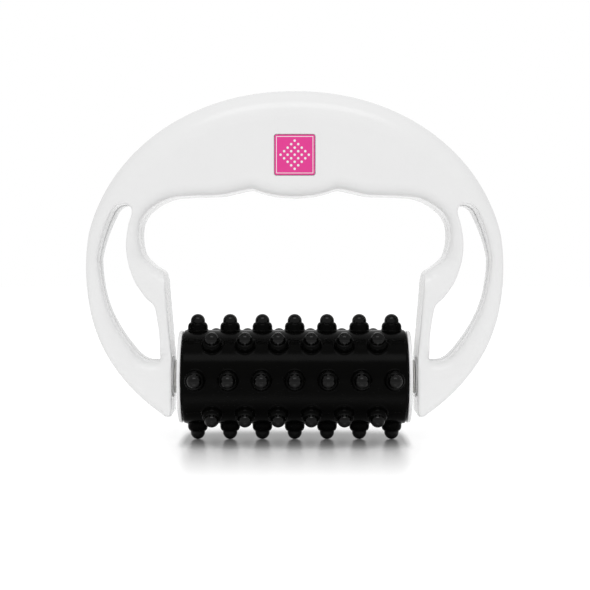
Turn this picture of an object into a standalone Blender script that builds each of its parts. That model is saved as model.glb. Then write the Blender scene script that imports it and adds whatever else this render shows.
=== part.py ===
"""A hand-held body massage roller: a moulded grip in two half shells, open at the bottom, whose two
legs carry a steel axle. A studded soft sleeve on a plastic core spins on that axle between the legs.

Metres, +Z up, +X to the right; the labelled front faces -Y. The origin is on the ground, straight
below the middle of the roller. Shapes are drawn in the axle's own frame, with its centre at zero,
and two empties at that height hold what is fixed to the grip and what turns with the roller.
"""

import math

import bmesh
import bpy
import numpy as np
from mathutils import Matrix, Vector, geometry

# Fits
PART_GAP = 0.0003

# Roller
SLEEVE_LENGTH = 0.0954
SLEEVE_RADIUS = 0.0201
SLEEVE_WALL = 0.0031
SLEEVE_EDGE_RADIUS = 0.0016
STUD_BASE_DIAMETER = 0.0084
STUD_BASE_HEIGHT = 0.0034
STUD_TOP_DIAMETER = 0.0057
STUD_TOP_HEIGHT = 0.0035
STUD_ROOT = 0.0016
STUD_END_INSET = 0.0059
STUD_ROWS = 8
LONG_ROW_STUDS = 7
CORE_WALL = 0.0025
CAP_THICKNESS = 0.0015
CAP_SETBACK = 0.0003
CAP_EDGE_RADIUS = 0.0005
SPIGOT_LENGTH = 0.0080
SPIGOT_WALL = 0.0024
HUB_WALL = 0.0022
BUSH_WALL = 0.0017
BUSH_SHOULDER = 0.0022
BUSH_FLANGE = 0.0007

# Axle and what holds it
AXLE_DIAMETER = 0.0060
AXLE_CHAMFER = 0.0004
AXLE_TAIL = 0.0040
WASHER_THICKNESS = 0.0006
CLIP_THICKNESS = 0.0010
CLIP_WIDTH = 0.0024
CLIP_GROOVE = 0.0008
CLIP_MOUTH = 0.0030
CLIP_DEPTH_IN_LEG = 0.0060
SEAT_RING = 0.0015
SEAT_HEIGHT = 0.0005
POCKET_ROOF = 0.0014

# Grip outline
HANDLE_WIDTH = 0.1780
RING_HEIGHT = 0.1540
RING_EXPONENT = 2.06
RING_RISE = 0.0456
GRIP_HEIGHT = 0.0455
FOOT_DROP = 0.0161
FOOT_WIDTH = 0.0025
ARC_WIDTH = 0.0050
ARC_TOP_WIDTH = 0.0066
ARC_HEEL_WIDTH = 0.0100
LEG_WIDTH = 0.0050
LEG_LEAN_CLEARANCE = 0.0005
SLOT_TOP_DROP = 0.0487
SLOT_TOP_RADIUS = 0.0042
SLOT_HEEL_RADIUS = 0.0080
SLOT_TOE_RADIUS = 0.0020
LIP_RADIUS = 0.0016
TOE_RADIUS = 0.0011

# Grip section
GRIP_DEPTH = 0.0280
LEG_DEPTH = 0.0260
ARC_DEPTH = 0.0170
WALL = 0.0024
CROWN_BAND = 0.0126
SHOULDER_BAND = 0.0074
ARC_BAND = 0.0024
FOOT_BAND = 0.0032
FINGER_BAND = 0.0050
ARM_BAND = 0.0042
LIP_BAND = 0.0085
LEG_BAND = 0.0013
HEEL_BAND = 0.0070
SLOT_BAND = 0.0011
OUTLINE_STEP = 0.0048
POINT_SPACING = 0.0012

# Label
LABEL_SIDE = 0.0170
LABEL_CORNER = 0.0008
LABEL_THICKNESS = 0.0008
LABEL_PROUD = 0.0002
LABEL_DROP = 0.0279

# Screws
SCREW_DIAMETER = 0.0030
SCREW_HEAD_DIAMETER = 0.0056
SCREW_HEAD_HEIGHT = 0.0020
SCREW_RECESS_WIDTH = 0.0008
SCREW_RECESS_SPAN = 0.0032
SCREW_RECESS_DEPTH = 0.0011
SCREW_SINK = 0.0080
SCREW_FRONT_WALL = 0.0034
SCREW_TIP = 0.0012
BOSS_WALL = 0.0016
FOOT_SCREW_RISE = 0.0075

CUT_OVERRUN = 0.0020

# Sides of round bodies
TUBE_STEPS = 40
BORE_STEPS = 24
SCREW_STEPS = 12
STUD_STEPS = 10

# The hand opening's edge from the lip above the leg, round the lobe and along the finger rests to
# the middle. Across: 0 to 1 is the middle to the leg's face, 1 to 2 from there to the ring's widest
# point. Up: 0 is the axle, and 1 the lowest point of the grip's under side.
opening_edge_shares = (
    (1.087, 0.585),
    (1.198, 0.617),
    (1.318, 0.669),
    (1.364, 0.726),
    (1.380, 0.785),
    (1.364, 0.852),
    (1.296, 0.909),
    (1.160, 0.961),
    (0.996, 0.994),
    (0.851, 1.004),
    (0.607, 1.010),
    (0.471, 1.028),
    (0.353, 1.043),
    (0.276, 1.028),
    (0.149, 1.008),
    (0.000, 1.000),
)
# The slot's inner edge along the arm, above the straight leg, in the same shares.
arm_edge_shares = (
    (1.174, 0.357),
    (1.209, 0.406),
    (1.304, 0.450),
    (1.418, 0.532),
    (1.495, 0.636),
    (1.519, 0.735),
    (1.495, 0.834),
    (1.448, 0.916),
    (1.430, 1.000),
)
# How far up the slot each width of the outer arc is reached, foot to top.
arc_width_shares = (0.00, 0.28, 0.66, 1.00)
# The ring's lower half is a piece of the same rounded curve as its top, cut at this share of it.
ring_foot_share = 0.8013
# How far up the ring, and up the hand opening, each width of the rounded band is reached.
ring_band_shares = (0.00, 0.44, 0.56, 0.65, 0.80, 1.00)
opening_band_shares = (0.00, 0.54, 0.585, 0.66, 0.76, 0.92, 1.10)
slot_band_shares = (0.00, 0.16, 0.50, 1.00)
# A rounded band falls this share of its width, in steps at these shares of its width.
band_fall_share = 0.70
band_step_shares = (0.16, 0.48, 1.00)
# Where the screws stand: across as above, and up from the grip's under side to its top.
grip_screw_shares = (0.632, 0.36)
shoulder_screw_shares = (1.171, 0.27)
# How far across the foot its screw stands, from the leg's face to the ring's outline.
foot_screw_share = 0.42
# The arc is thinned between these shares of the way out to the ring's outline.
arc_thin_shares = (0.82, 0.92)
# The grip's full depth is reached between these shares of the way up to the grip's under side.
deepening_shares = (0.45, 1.00)
# A stud's dome: how high each step stands, and how wide, as shares of its height and radius.
stud_dome_shares = ((0.62, 0.88),)
# A screw head's dome in the same way.
screw_dome_shares = ((0.55, 1.00), (1.00, 0.72))

# Sizes that follow
tip_radius = SLEEVE_RADIUS + STUD_BASE_HEIGHT + STUD_TOP_HEIGHT
axle_height = tip_radius
axle_radius = AXLE_DIAMETER / 2
core_outer = SLEEVE_RADIUS - SLEEVE_WALL - PART_GAP
core_inner = core_outer - CORE_WALL
bush_inner = axle_radius + PART_GAP
bush_outer = bush_inner + BUSH_WALL
bush_shoulder = bush_outer + BUSH_SHOULDER
cap_inner_x = SLEEVE_LENGTH / 2 + PART_GAP
cap_outer_x = cap_inner_x + CAP_THICKNESS
hub_x = cap_inner_x - SPIGOT_LENGTH
flange_x = cap_outer_x + PART_GAP
washer_x = flange_x + BUSH_FLANGE + PART_GAP
seat_x = washer_x + WASHER_THICKNESS + PART_GAP
seat_radius = bush_shoulder + SEAT_RING
leg_face = seat_x + SEAT_HEIGHT
clip_x = leg_face + CLIP_DEPTH_IN_LEG
clip_inner = axle_radius - CLIP_GROOVE + PART_GAP
clip_outer = axle_radius + CLIP_WIDTH
pocket_radius = clip_outer + PART_GAP
axle_end = clip_x + CLIP_THICKNESS + AXLE_TAIL

half_width = HANDLE_WIDTH / 2
ring_radius = RING_HEIGHT / 2
top_z = RING_RISE + ring_radius
finger_z = top_z - GRIP_HEIGHT
leg_lean_z = seat_radius + LEG_LEAN_CLEARANCE
foot_x = leg_face + FOOT_WIDTH
slot_floor = pocket_radius + POCKET_ROOF
slot_top = top_z - SLOT_TOP_DROP
cavity_floor = slot_top + 2 * WALL
half_gap = PART_GAP / 2
grip_half = GRIP_DEPTH / 2
leg_half = LEG_DEPTH / 2

screw_radius = SCREW_DIAMETER / 2
screw_head_radius = SCREW_HEAD_DIAMETER / 2
screw_seat_y = leg_half - SCREW_SINK
screw_tip_y = SCREW_FRONT_WALL - leg_half
head_bore = screw_head_radius + PART_GAP
boss_radius = head_bore + BOSS_WALL


def material(name, colour, roughness, metallic=0.0):
    """A plain finish for one kind of piece."""
    made = bpy.data.materials.new(name)
    made.use_nodes = True
    shader = made.node_tree.nodes["Principled BSDF"]
    shader.inputs["Base Color"].default_value = (*colour, 1.0)
    shader.inputs["Roughness"].default_value = roughness
    shader.inputs["Metallic"].default_value = metallic
    made.diffuse_color = (*colour, 1.0)
    return made


def empty(name):
    """A point on the axle's middle that carries pieces."""
    made = bpy.data.objects.new(name, None)
    made.location = (0, 0, axle_height)
    bpy.context.scene.collection.objects.link(made)
    return made


def piece(name, mesh, finish, carrier):
    """An object from a finished bmesh, with its faces turned out and its round sides smooth."""
    bmesh.ops.recalc_face_normals(mesh, faces=mesh.faces)
    data = bpy.data.meshes.new(name)
    mesh.to_mesh(data)
    mesh.free()
    if finish:
        data.materials.append(finish)
    data.shade_smooth()
    data.set_sharp_from_angle(angle=math.radians(32))
    made = bpy.data.objects.new(name, data)
    made.parent = carrier
    bpy.context.scene.collection.objects.link(made)
    return made


def tool(name, mesh, carrier):
    """A helper body for a Boolean, which isn't a piece."""
    made = piece(name, mesh, None, carrier)
    made.hide_render = True
    made.display_type = "WIRE"
    return made


def boolean(target, operation, other):
    """Cuts or joins another body, and keeps the modifier live."""
    made = target.modifiers.new(other.name, "BOOLEAN")
    made.operation = operation
    made.solver = "EXACT"
    made.object = other


def moved(mesh, before, place):
    """Places what was added to the mesh since it held the vertices in before."""
    if place:
        fresh = [vertex for vertex in mesh.verts if vertex not in before]
        bmesh.ops.transform(mesh, matrix=place, verts=fresh)


def turned(mesh, profile, steps, place=None):
    """Adds a body of revolution about X. The profile lists (x, radius) pairs; one that starts and
    ends on the axis is solid, and any other is a closed outline round a bore."""
    before = set(mesh.verts)
    points = [mesh.verts.new((x, 0, radius)) for x, radius in profile]
    edges = [mesh.edges.new(pair) for pair in zip(points, points[1:])]
    if profile[0][1] > 0:
        edges.append(mesh.edges.new((points[-1], points[0])))
    bmesh.ops.spin(
        mesh, geom=points + edges, cent=(0, 0, 0), axis=(1, 0, 0), dvec=(0, 0, 0),
        angle=2 * math.pi, steps=steps, use_merge=True, use_duplicate=False,
    )
    fresh = [vertex for vertex in mesh.verts if vertex not in before]
    bmesh.ops.remove_doubles(mesh, verts=fresh, dist=PART_GAP / 100)
    moved(mesh, before, place)


def turned_piece(name, profile, steps, finish, carrier):
    mesh = bmesh.new()
    turned(mesh, profile, steps)
    return piece(name, mesh, finish, carrier)


def mirrored(profile, side):
    """The right end's profile, or its mirror image for the left end."""
    return [(side * x, radius) for x, radius in profile]


def arc(centre, radius, start, end, steps):
    """Points of a circular arc between two angles in degrees."""
    angles = np.radians(np.linspace(start, end, steps + 1))
    return [(centre[0] + radius * math.cos(a), centre[1] + radius * math.sin(a)) for a in angles]


def prism(mesh, outline, low, high, place=None):
    """Adds a closed body: an outline of (x, z) points carried from one depth to another."""
    before = set(mesh.verts)
    front = [mesh.verts.new((x, low, z)) for x, z in outline]
    back = [mesh.verts.new((x, high, z)) for x, z in outline]
    mesh.faces.new(front)
    mesh.faces.new(back[::-1])
    for i, vertex in enumerate(front):
        j = (i + 1) % len(front)
        mesh.faces.new((vertex, back[i], back[j], front[j]))
    moved(mesh, before, place)


def rounded_square(side, radius, steps=4):
    """A square with round corners about zero, as (x, z) points."""
    centre = side / 2 - radius
    points = []
    for x, z, start in ((1, 1, 0), (-1, 1, 90), (-1, -1, 180), (1, -1, 270)):
        points += arc((x * centre, z * centre), radius, start, start + 90, steps)
    return points


def smooth_line(knots, steps):
    """A Catmull-Rom curve through the knots, with the given number of points to each stretch."""
    knots = np.asarray(knots)
    ends = np.vstack([2 * knots[0] - knots[1], knots, 2 * knots[-1] - knots[-2]])
    share = np.linspace(0, 1, steps, endpoint=False)[:, None]
    stretches = []
    for a, b, c, d in zip(ends, ends[1:], ends[2:], ends[3:]):
        cubic = (3 * b - a - 3 * c + d) * share**3 + (2 * a - 5 * b + 4 * c - d) * share**2
        stretches.append(0.5 * (2 * b + (c - a) * share + cubic))
    return np.vstack(stretches + [knots[-1:]])


def lengths_along(line):
    return np.concatenate([[0], np.cumsum(np.linalg.norm(np.diff(line, axis=0), axis=1))])


def point_at(line, distance):
    along = lengths_along(line)
    return np.array([np.interp(distance, along, line[:, k]) for k in (0, 1)]).T


def shifted(line, distance):
    """The line moved sideways, to the left of its own direction."""
    along = np.gradient(line, axis=0)
    along /= np.linalg.norm(along, axis=1)[:, None]
    return line + distance * np.column_stack([-along[:, 1], along[:, 0]])


def eased_loop(lines, radii, step):
    """A closed outline from lines that meet end to end, with a point every step on all but the
    straight ones of two points. Each meeting, first that of the first line with the second,
    becomes a curve that starts and ends its radius away."""
    loop = []
    for i, line in enumerate(lines):
        following = lines[(i + 1) % len(lines)]
        length = lengths_along(line)[-1]
        start = min(radii[i - 1], length / 2)
        end = length - min(radii[i], length / 2)
        count = 2 if len(line) == 2 else max(2, round((end - start) / step) + 1)
        places = np.linspace(start, end, count) if end - start > step / 20 else [(start + end) / 2]
        loop.append(point_at(line, places))
        after = point_at(following, min(radii[i], lengths_along(following)[-1] / 2))
        share = np.linspace(0, 1, 5)[1:-1, None]
        bend = (1 - share) ** 2 * loop[-1][-1] + 2 * share * (1 - share) * line[-1] + share**2 * after
        loop.append(bend)
    return np.vstack(loop)


def mirror_line(line):
    """The other side's line, in the order that keeps the loop's direction."""
    return (line * (-1, 1))[::-1]


def both_halves(line):
    """A line that ends on the middle, carried on over the other side."""
    return np.vstack([line, mirror_line(line)[1:]])


# The grip's outline, drawn for the right half as (x, z) points in the axle's frame


def across(share):
    """An x from a share: 1 is the leg's face, and 2 the ring's widest point."""
    return leg_face * min(share, 1) + (half_width - leg_face) * max(share - 1, 0)


def up_grip(share):
    return finger_z + GRIP_HEIGHT * share


def ring_half(share):
    """How wide the ring's rounded curve is at a share of the way to its top, as a share."""
    return (1 - np.abs(share) ** RING_EXPONENT) ** (1 / RING_EXPONENT)


def ring_x(z):
    """Where the ring's outline crosses a height. Its lower half ends on the foot's outer corner."""
    low = np.clip((RING_RISE - z) / (RING_RISE + FOOT_DROP), 0, 1) * ring_foot_share
    pulled = (1 - ring_half(low)) / (1 - ring_half(ring_foot_share))
    below = half_width - (half_width - foot_x) * pulled
    above = half_width * ring_half(np.clip((z - RING_RISE) / ring_radius, 0, 1))
    return np.where(z < RING_RISE, below, above)


def ring_line(inset=0.0):
    """The ring's outline from the foot, up the outside, to the middle of the top."""
    low_z = np.linspace(-FOOT_DROP, RING_RISE, 60, endpoint=False)
    angles = np.linspace(0, math.pi / 2, 60)
    high_x = (half_width - inset) * np.abs(np.cos(angles)) ** (2 / RING_EXPONENT)
    high_z = RING_RISE + (ring_radius - inset) * np.sin(angles) ** (2 / RING_EXPONENT)
    high_x[-1] = 0
    low = np.column_stack([ring_x(low_z) - inset, low_z])
    return np.vstack([low, np.column_stack([high_x, high_z])])


def opening_line():
    """The hand opening's edge above the leg, from the lip to the middle."""
    return smooth_line([(across(x), finger_z * z) for x, z in opening_edge_shares], 8)


def grip_outline():
    """The whole outline: finger rests, right leg and foot, the ring, left foot and leg."""
    opening = opening_line()
    leg = np.array([opening[0], (leg_face, leg_lean_z), (leg_face, -FOOT_DROP)])
    foot = np.array([(leg_face, -FOOT_DROP), (foot_x, -FOOT_DROP)])
    ring = both_halves(ring_line())
    lines = [leg, foot, ring, mirror_line(foot), mirror_line(leg), both_halves(opening) * (-1, 1)]
    toe, lip = TOE_RADIUS, LIP_RADIUS
    return eased_loop(lines, [toe, toe, toe, toe, lip, lip], OUTLINE_STEP)


def slot_outline():
    """The long slot between the ring's arc and the arm, with its floor and its round top."""
    heights = slot_floor + (slot_top - slot_floor) * np.array(arc_width_shares)
    middle = (ARC_WIDTH + ARC_HEEL_WIDTH) / 2
    widths = np.array([ARC_HEEL_WIDTH, middle, ARC_WIDTH, ARC_TOP_WIDTH])
    ring = ring_line()
    outer = shifted(ring, np.interp(ring[:, 1], heights, widths)[:, None])
    outer = outer[(outer[:, 1] > slot_floor) & (outer[:, 1] < slot_top) & (outer[:, 0] > leg_face)]
    toe_x = leg_face + LEG_WIDTH
    knots = [(toe_x, slot_floor), (toe_x, (slot_floor + finger_z * arm_edge_shares[0][1]) / 2)]
    arm = smooth_line(knots + [(across(x), finger_z * z) for x, z in arm_edge_shares], 6)
    arm = arm[arm[:, 1] < slot_top]
    heel = (outer[0, 0], slot_floor)
    roof = (outer[-1, 0], slot_top)
    arm = np.vstack([arm, [(arm[-1, 0], slot_top)]])[::-1]
    lines = [np.array([arm[-1], heel]), np.vstack([heel, outer[1:-1], roof]), np.array([roof, arm[0]]), arm]
    radii = [SLOT_HEEL_RADIUS, SLOT_TOP_RADIUS, SLOT_TOP_RADIUS, SLOT_TOE_RADIUS]
    return eased_loop(lines, radii, OUTLINE_STEP)


# The grip's section: how deep it is, and the rounded band along each edge


def smooth_step(low, high, value):
    share = np.clip((value - low) / (high - low), 0, 1)
    return share * share * (3 - 2 * share)


def full_half_depth(points):
    """Half the grip's depth away from its edges: deepest in the grip, thinned along the arcs."""
    x, z = np.abs(points[:, 0]), points[:, 1]
    deepening = smooth_step(*(finger_z * share for share in deepening_shares), z)
    outward = x / np.maximum(ring_x(z), POINT_SPACING)
    slot_share = np.clip((z - slot_floor) / (slot_top - slot_floor), 0, 1)
    thinning = np.sin(math.pi * slot_share) ** 2 * smooth_step(*arc_thin_shares, outward)
    base = leg_half + (grip_half - leg_half) * deepening
    return base - (base - ARC_DEPTH / 2) * thinning


def grip_bands(outline):
    """How wide the rounded band is at each point of the grip's outline."""
    x, z = np.abs(outline[:, 0]), outline[:, 1]
    ring_share = (z + FOOT_DROP) / (top_z + FOOT_DROP)
    ring = np.interp(
        ring_share, ring_band_shares,
        (FOOT_BAND, ARC_BAND, ARC_BAND, SHOULDER_BAND, (SHOULDER_BAND + CROWN_BAND) / 2, CROWN_BAND),
    )
    opening = np.interp(
        z / finger_z, opening_band_shares,
        (LEG_BAND, LEG_BAND, LIP_BAND, LIP_BAND, ARM_BAND, FINGER_BAND, FINGER_BAND),
    )
    on_ring = (x > ring_x(z) - TOE_RADIUS) | (z > (finger_z + top_z) / 2)
    return np.where(on_ring, ring, opening)


def slot_bands(outline):
    """The same along a slot: wide on its floor and heel, narrow along the arm."""
    x, z = np.abs(outline[:, 0]), outline[:, 1]
    share = (z - slot_floor) / (slot_top - slot_floor)
    outer = np.interp(share, slot_band_shares, (HEEL_BAND, HEEL_BAND, ARC_BAND, SLOT_BAND))
    middle = (outline[:, 0].min() + outline[:, 0].max()) / 2
    on_floor = z < slot_floor + SLOT_TOE_RADIUS / 2
    return np.where(on_floor | (x > np.abs(middle)), outer, SLOT_BAND)


def fall_at(points, edge, bands):
    """How far the surface falls back at each point: a quarter round in each band, the deepest of
    all the edge's points that reach it."""
    away = np.linalg.norm(points[:, None, :] - edge[None, :, :], axis=2) / bands
    return (band_fall_share * bands * (1 - np.sqrt(1 - (1 - np.minimum(away, 1)) ** 2))).max(axis=1)


def surface_depth(points):
    """Half the grip's depth at each point, with the rounded bands along its edges."""
    return full_half_depth(points) - fall_at(points, grip_edge, grip_edge_bands)


def inside(points, loops):
    """Which points lie within an odd number of the loops."""
    found = np.zeros(len(points), bool)
    for loop in loops:
        for a, b in zip(loop, np.roll(loop, -1, axis=0)):
            crosses = (a[1] > points[:, 1]) != (b[1] > points[:, 1])
            if crosses.any():
                x = a[0] + (points[:, 1] - a[1]) * (b[0] - a[0]) / (b[1] - a[1])
                found ^= crosses & (points[:, 0] < x)
    return found


def inward_normals(loop):
    along = np.roll(loop, -1, axis=0) - np.roll(loop, 1, axis=0)
    along /= np.linalg.norm(along, axis=1)[:, None]
    return np.column_stack([-along[:, 1], along[:, 0]])


def nearest(points, others):
    return np.linalg.norm(points[:, None, :] - others[None, :, :], axis=2).min(axis=1)


def band_points(loops, bands):
    """Points on the steps of every rounded band, none of them too near another or an edge."""
    edge = np.vstack(loops)
    normals = np.vstack([inward_normals(loop) for loop in loops])
    kept = []
    for share in band_step_shares:
        step = edge + normals * (share * bands)[:, None]
        step = step[(nearest(step, edge) > 0.9 * share * bands) & inside(step, loops)]
        for point in step:
            if not kept or np.linalg.norm(np.array(kept) - point, axis=1).min() > POINT_SPACING:
                kept.append(point)
    return np.array(kept)


def regions(faces, walls):
    """The triangles in groups, each of them bounded by the walls, which are pairs of points."""
    beside = {}
    for i, face in enumerate(faces):
        for pair in zip(face, face[1:] + face[:1]):
            beside.setdefault(frozenset(pair), []).append(i)
    group = [None] * len(faces)
    for first in range(len(faces)):
        waiting = [first] if group[first] is None else []
        while waiting:
            i = waiting.pop()
            group[i] = first
            for pair in map(frozenset, zip(faces[i], faces[i][1:] + faces[i][:1])):
                if pair not in walls:
                    waiting += [j for j in beside[pair] if group[j] is None]
    return np.array(group)


def triangulated(loops, interior):
    """Triangles between the loops, through the interior points, and where each given point went."""
    points = np.vstack(loops + [interior])
    edges, start = [], 0
    for loop in loops:
        edges += [(start + i, start + (i + 1) % len(loop)) for i in range(len(loop))]
        start += len(loop)
    found = geometry.delaunay_2d_cdt([Vector(p) for p in points], edges, [], 0, PART_GAP / 1000, True)
    places = np.array([tuple(p) for p in found[0]])
    at = {given: i for i, sources in enumerate(found[3]) for given in sources}
    faces = [tuple(face) for face in found[2]]
    corners = places[np.array(faces)]
    areas = np.abs(np.linalg.det(corners[:, 1:] - corners[:, :1]))
    group = regions(faces, {frozenset((at[a], at[b])) for a, b in edges})
    kept = []
    for name in set(group.tolist()):
        members = np.flatnonzero(group == name)
        largest = members[areas[members].argmax()]
        if inside(corners[[largest]].mean(axis=1), loops)[0]:
            kept += [faces[i] for i in members]
    return places, kept, at


def cavity_outline():
    """The hollow in the grip: a wall inside the ring and the finger rests, from one leg's root to
    the other's."""
    ring = ring_line(WALL)
    ring = ring[ring[:, 1] > cavity_floor]
    opening = shifted(opening_line(), -WALL)
    opening = opening[(opening[:, 0] < leg_face) & (opening[:, 1] > finger_z)]
    corner = np.array((leg_face + WALL, cavity_floor))
    side = [np.array([opening[0], corner]), np.array([corner, ring[0]])]
    lines = side + [both_halves(ring)] + [mirror_line(line) for line in side[::-1]]
    lines += [both_halves(opening) * (-1, 1)]
    return eased_loop(lines, [WALL] * len(lines), OUTLINE_STEP)


def add_surface(mesh, loops, interior, depth_at):
    """Adds the surface between the loops at the depths given, and returns the loops' vertices."""
    places, faces, at = triangulated(loops, interior)
    made = [mesh.verts.new((x, depth, z)) for (x, z), depth in zip(places, depth_at(places))]
    for face in faces:
        mesh.faces.new([made[i] for i in face])
    edges, start = [], 0
    for loop in loops:
        edges.append([made[at[start + i]] for i in range(len(loop))])
        start += len(loop)
    return edges


def add_wall(mesh, one_edge, other_edge):
    for i, (near, far) in enumerate(zip(one_edge, other_edge)):
        j = (i + 1) % len(one_edge)
        mesh.faces.new((near, one_edge[j], other_edge[j], far))


def moulded_half(facing):
    """Half of the grip as a closed body: its outer surface, its flat parting face, and the hollow
    that is sunk in that face."""
    hollow = cavity_outline()
    inner = grip_interior[inside(grip_interior, [hollow])]
    inner = inner[nearest(inner, hollow) > POINT_SPACING]
    mesh = bmesh.new()
    outside = add_surface(mesh, grip_loops, grip_interior, lambda points: facing * surface_depth(points))
    roof = add_surface(mesh, [hollow], inner, lambda points: facing * (surface_depth(points) - WALL))
    none = np.zeros((0, 2))
    flat = lambda points: np.full(len(points), facing * half_gap)
    parting = add_surface(mesh, grip_loops + [hollow], none, flat)
    for edge, other in zip(outside + roof, parting):
        add_wall(mesh, edge, other)
    return mesh


grip_loop = grip_outline()
slot_loop = slot_outline()
grip_loops = [grip_loop, slot_loop[::-1], slot_loop * (-1, 1)]
grip_edge = np.vstack(grip_loops)
grip_edge_bands = np.concatenate([grip_bands(grip_loop)] + [slot_bands(loop) for loop in grip_loops[1:]])
grip_interior = band_points(grip_loops, grip_edge_bands)

# Where the screws stand, right side first


def screw_places():
    grip = (across(grip_screw_shares[0]), up_grip(grip_screw_shares[1]))
    shoulder = (across(shoulder_screw_shares[0]), up_grip(shoulder_screw_shares[1]))
    foot_z = FOOT_SCREW_RISE - FOOT_DROP
    foot = (leg_face + foot_screw_share * (float(ring_x(foot_z)) - leg_face), foot_z)
    return {"grip_screw": grip, "shoulder_screw": shoulder, "foot_screw": foot}


SIDES = (("right", 1), ("left", -1))
ALONG_Y = Matrix.Rotation(math.pi / 2, 4, "Z")


def bores(carrier):
    """The axle's bore with the clip's pocket, and the stepped holes of the six screws."""
    mesh = bmesh.new()
    bore = [
        (seat_x - CUT_OVERRUN, 0),
        (seat_x - CUT_OVERRUN, bush_inner),
        (clip_x - PART_GAP, bush_inner),
        (clip_x - PART_GAP, pocket_radius),
        (axle_end + PART_GAP, pocket_radius),
        (axle_end + PART_GAP, 0),
    ]
    screw_bore = screw_radius + PART_GAP
    hole = [
        (screw_tip_y - PART_GAP, 0),
        (screw_tip_y - PART_GAP, screw_bore),
        (screw_seat_y - PART_GAP, screw_bore),
        (screw_seat_y - PART_GAP, head_bore),
        (grip_half + CUT_OVERRUN, head_bore),
        (grip_half + CUT_OVERRUN, 0),
    ]
    for _, side in SIDES:
        turned(mesh, mirrored(bore, side), BORE_STEPS)
        for x, z in screw_places().values():
            turned(mesh, hole, SCREW_STEPS, Matrix.Translation((side * x, 0, z)) @ ALONG_Y)
    return tool("bores", mesh, carrier)


def supports(facing, carrier):
    """Screw bosses in the grip's hollow, and half of the raised seat round the axle on each leg."""
    mesh = bmesh.new()
    boss_end = grip_half - WALL / 2
    boss = [(half_gap, 0), (half_gap, boss_radius), (boss_end, boss_radius), (boss_end, 0)]
    seat = [(facing * max(half_gap, y), z) for y, z in arc((0, 0), seat_radius, -90, 90, BORE_STEPS // 2)]
    for _, side in SIDES:
        for name in ("grip_screw", "shoulder_screw"):
            x, z = screw_places()[name]
            place = Matrix.Translation((side * x, 0, z)) @ ALONG_Y
            turned(mesh, [(facing * y, radius) for y, radius in boss], BORE_STEPS, place)
        ends = sorted((-side * seat_x, -side * (leg_face + SEAT_RING)))
        prism(mesh, seat, *ends, ALONG_Y)
    return tool("supports_" + ("rear" if facing > 0 else "front"), mesh, carrier)


def handle_shell(name, facing, bore_tool, finish, carrier):
    """One half of the grip, hollow above the arms and solid in the arms, arcs and legs."""
    shell = piece(name, moulded_half(facing), finish, carrier)
    boolean(shell, "UNION", supports(facing, carrier))
    boolean(shell, "DIFFERENCE", bore_tool)
    return shell


def label_recess(carrier):
    mesh = bmesh.new()
    outline = rounded_square(LABEL_SIDE + 2 * PART_GAP, LABEL_CORNER + PART_GAP)
    floor = grip_half + LABEL_PROUD - LABEL_THICKNESS - PART_GAP
    place = Matrix.Translation((0, 0, top_z - LABEL_DROP))
    prism(mesh, outline, -grip_half - CUT_OVERRUN, -floor, place)
    return tool("label_recess", mesh, carrier)


def grip_label(finish, carrier):
    """The small square plate in its recess, a little proud of the grip's flat front."""
    mesh = bmesh.new()
    front = -grip_half - LABEL_PROUD
    prism(mesh, rounded_square(LABEL_SIDE, LABEL_CORNER), front, front + LABEL_THICKNESS)
    label = piece("grip_label", mesh, finish, carrier)
    label.location = (0, 0, top_z - LABEL_DROP)


def screw_mesh(finish):
    """A pan-head screw along Y with a cross recess. Zero is the seat under its head."""
    tip = screw_tip_y - screw_seat_y
    profile = [(tip, 0), (tip, screw_radius / 2), (tip + SCREW_TIP, screw_radius), (0, screw_radius)]
    profile += [(0, screw_head_radius)]
    profile += [(SCREW_HEAD_HEIGHT * x, screw_head_radius * r) for x, r in screw_dome_shares]
    profile += [(SCREW_HEAD_HEIGHT, 0)]
    body = bmesh.new()
    turned(body, profile, SCREW_STEPS, ALONG_Y)
    master = piece("screw_blank", body, finish, None)
    wide, narrow = SCREW_RECESS_SPAN / 2, SCREW_RECESS_WIDTH / 2
    corners = [(wide, narrow), (narrow, narrow), (narrow, wide)]
    quarter = list(corners)
    cross = []
    for _ in range(4):
        cross += quarter
        quarter = [(-z, x) for x, z in quarter]
    recess = bmesh.new()
    prism(recess, cross, SCREW_HEAD_HEIGHT - SCREW_RECESS_DEPTH, SCREW_HEAD_HEIGHT + CUT_OVERRUN)
    cutter = tool("screw_recess", recess, None)
    boolean(master, "DIFFERENCE", cutter)
    bpy.context.view_layer.update()
    made = bpy.data.meshes.new_from_object(master.evaluated_get(bpy.context.evaluated_depsgraph_get()))
    made.name = "screw"
    for spent in (master, cutter):
        bpy.data.objects.remove(spent)
    return made


def screws(finish, carrier):
    shared = screw_mesh(finish)
    for kind, (x, z) in screw_places().items():
        for hand, side in SIDES:
            screw = bpy.data.objects.new(f"{kind}_{hand}", shared)
            screw.location = (side * x, screw_seat_y, z)
            screw.parent = carrier
            bpy.context.scene.collection.objects.link(screw)


def axle(finish, carrier):
    """The axle, with a groove for a clip near each end."""
    groove = axle_radius - CLIP_GROOVE
    half = [
        (clip_x - PART_GAP, axle_radius),
        (clip_x - PART_GAP, groove),
        (clip_x + CLIP_THICKNESS + PART_GAP, groove),
        (clip_x + CLIP_THICKNESS + PART_GAP, axle_radius),
        (axle_end - AXLE_CHAMFER, axle_radius),
        (axle_end, axle_radius - AXLE_CHAMFER),
        (axle_end, 0),
    ]
    turned_piece("axle", mirrored(half, -1)[::-1] + half, BORE_STEPS, finish, carrier)


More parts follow.
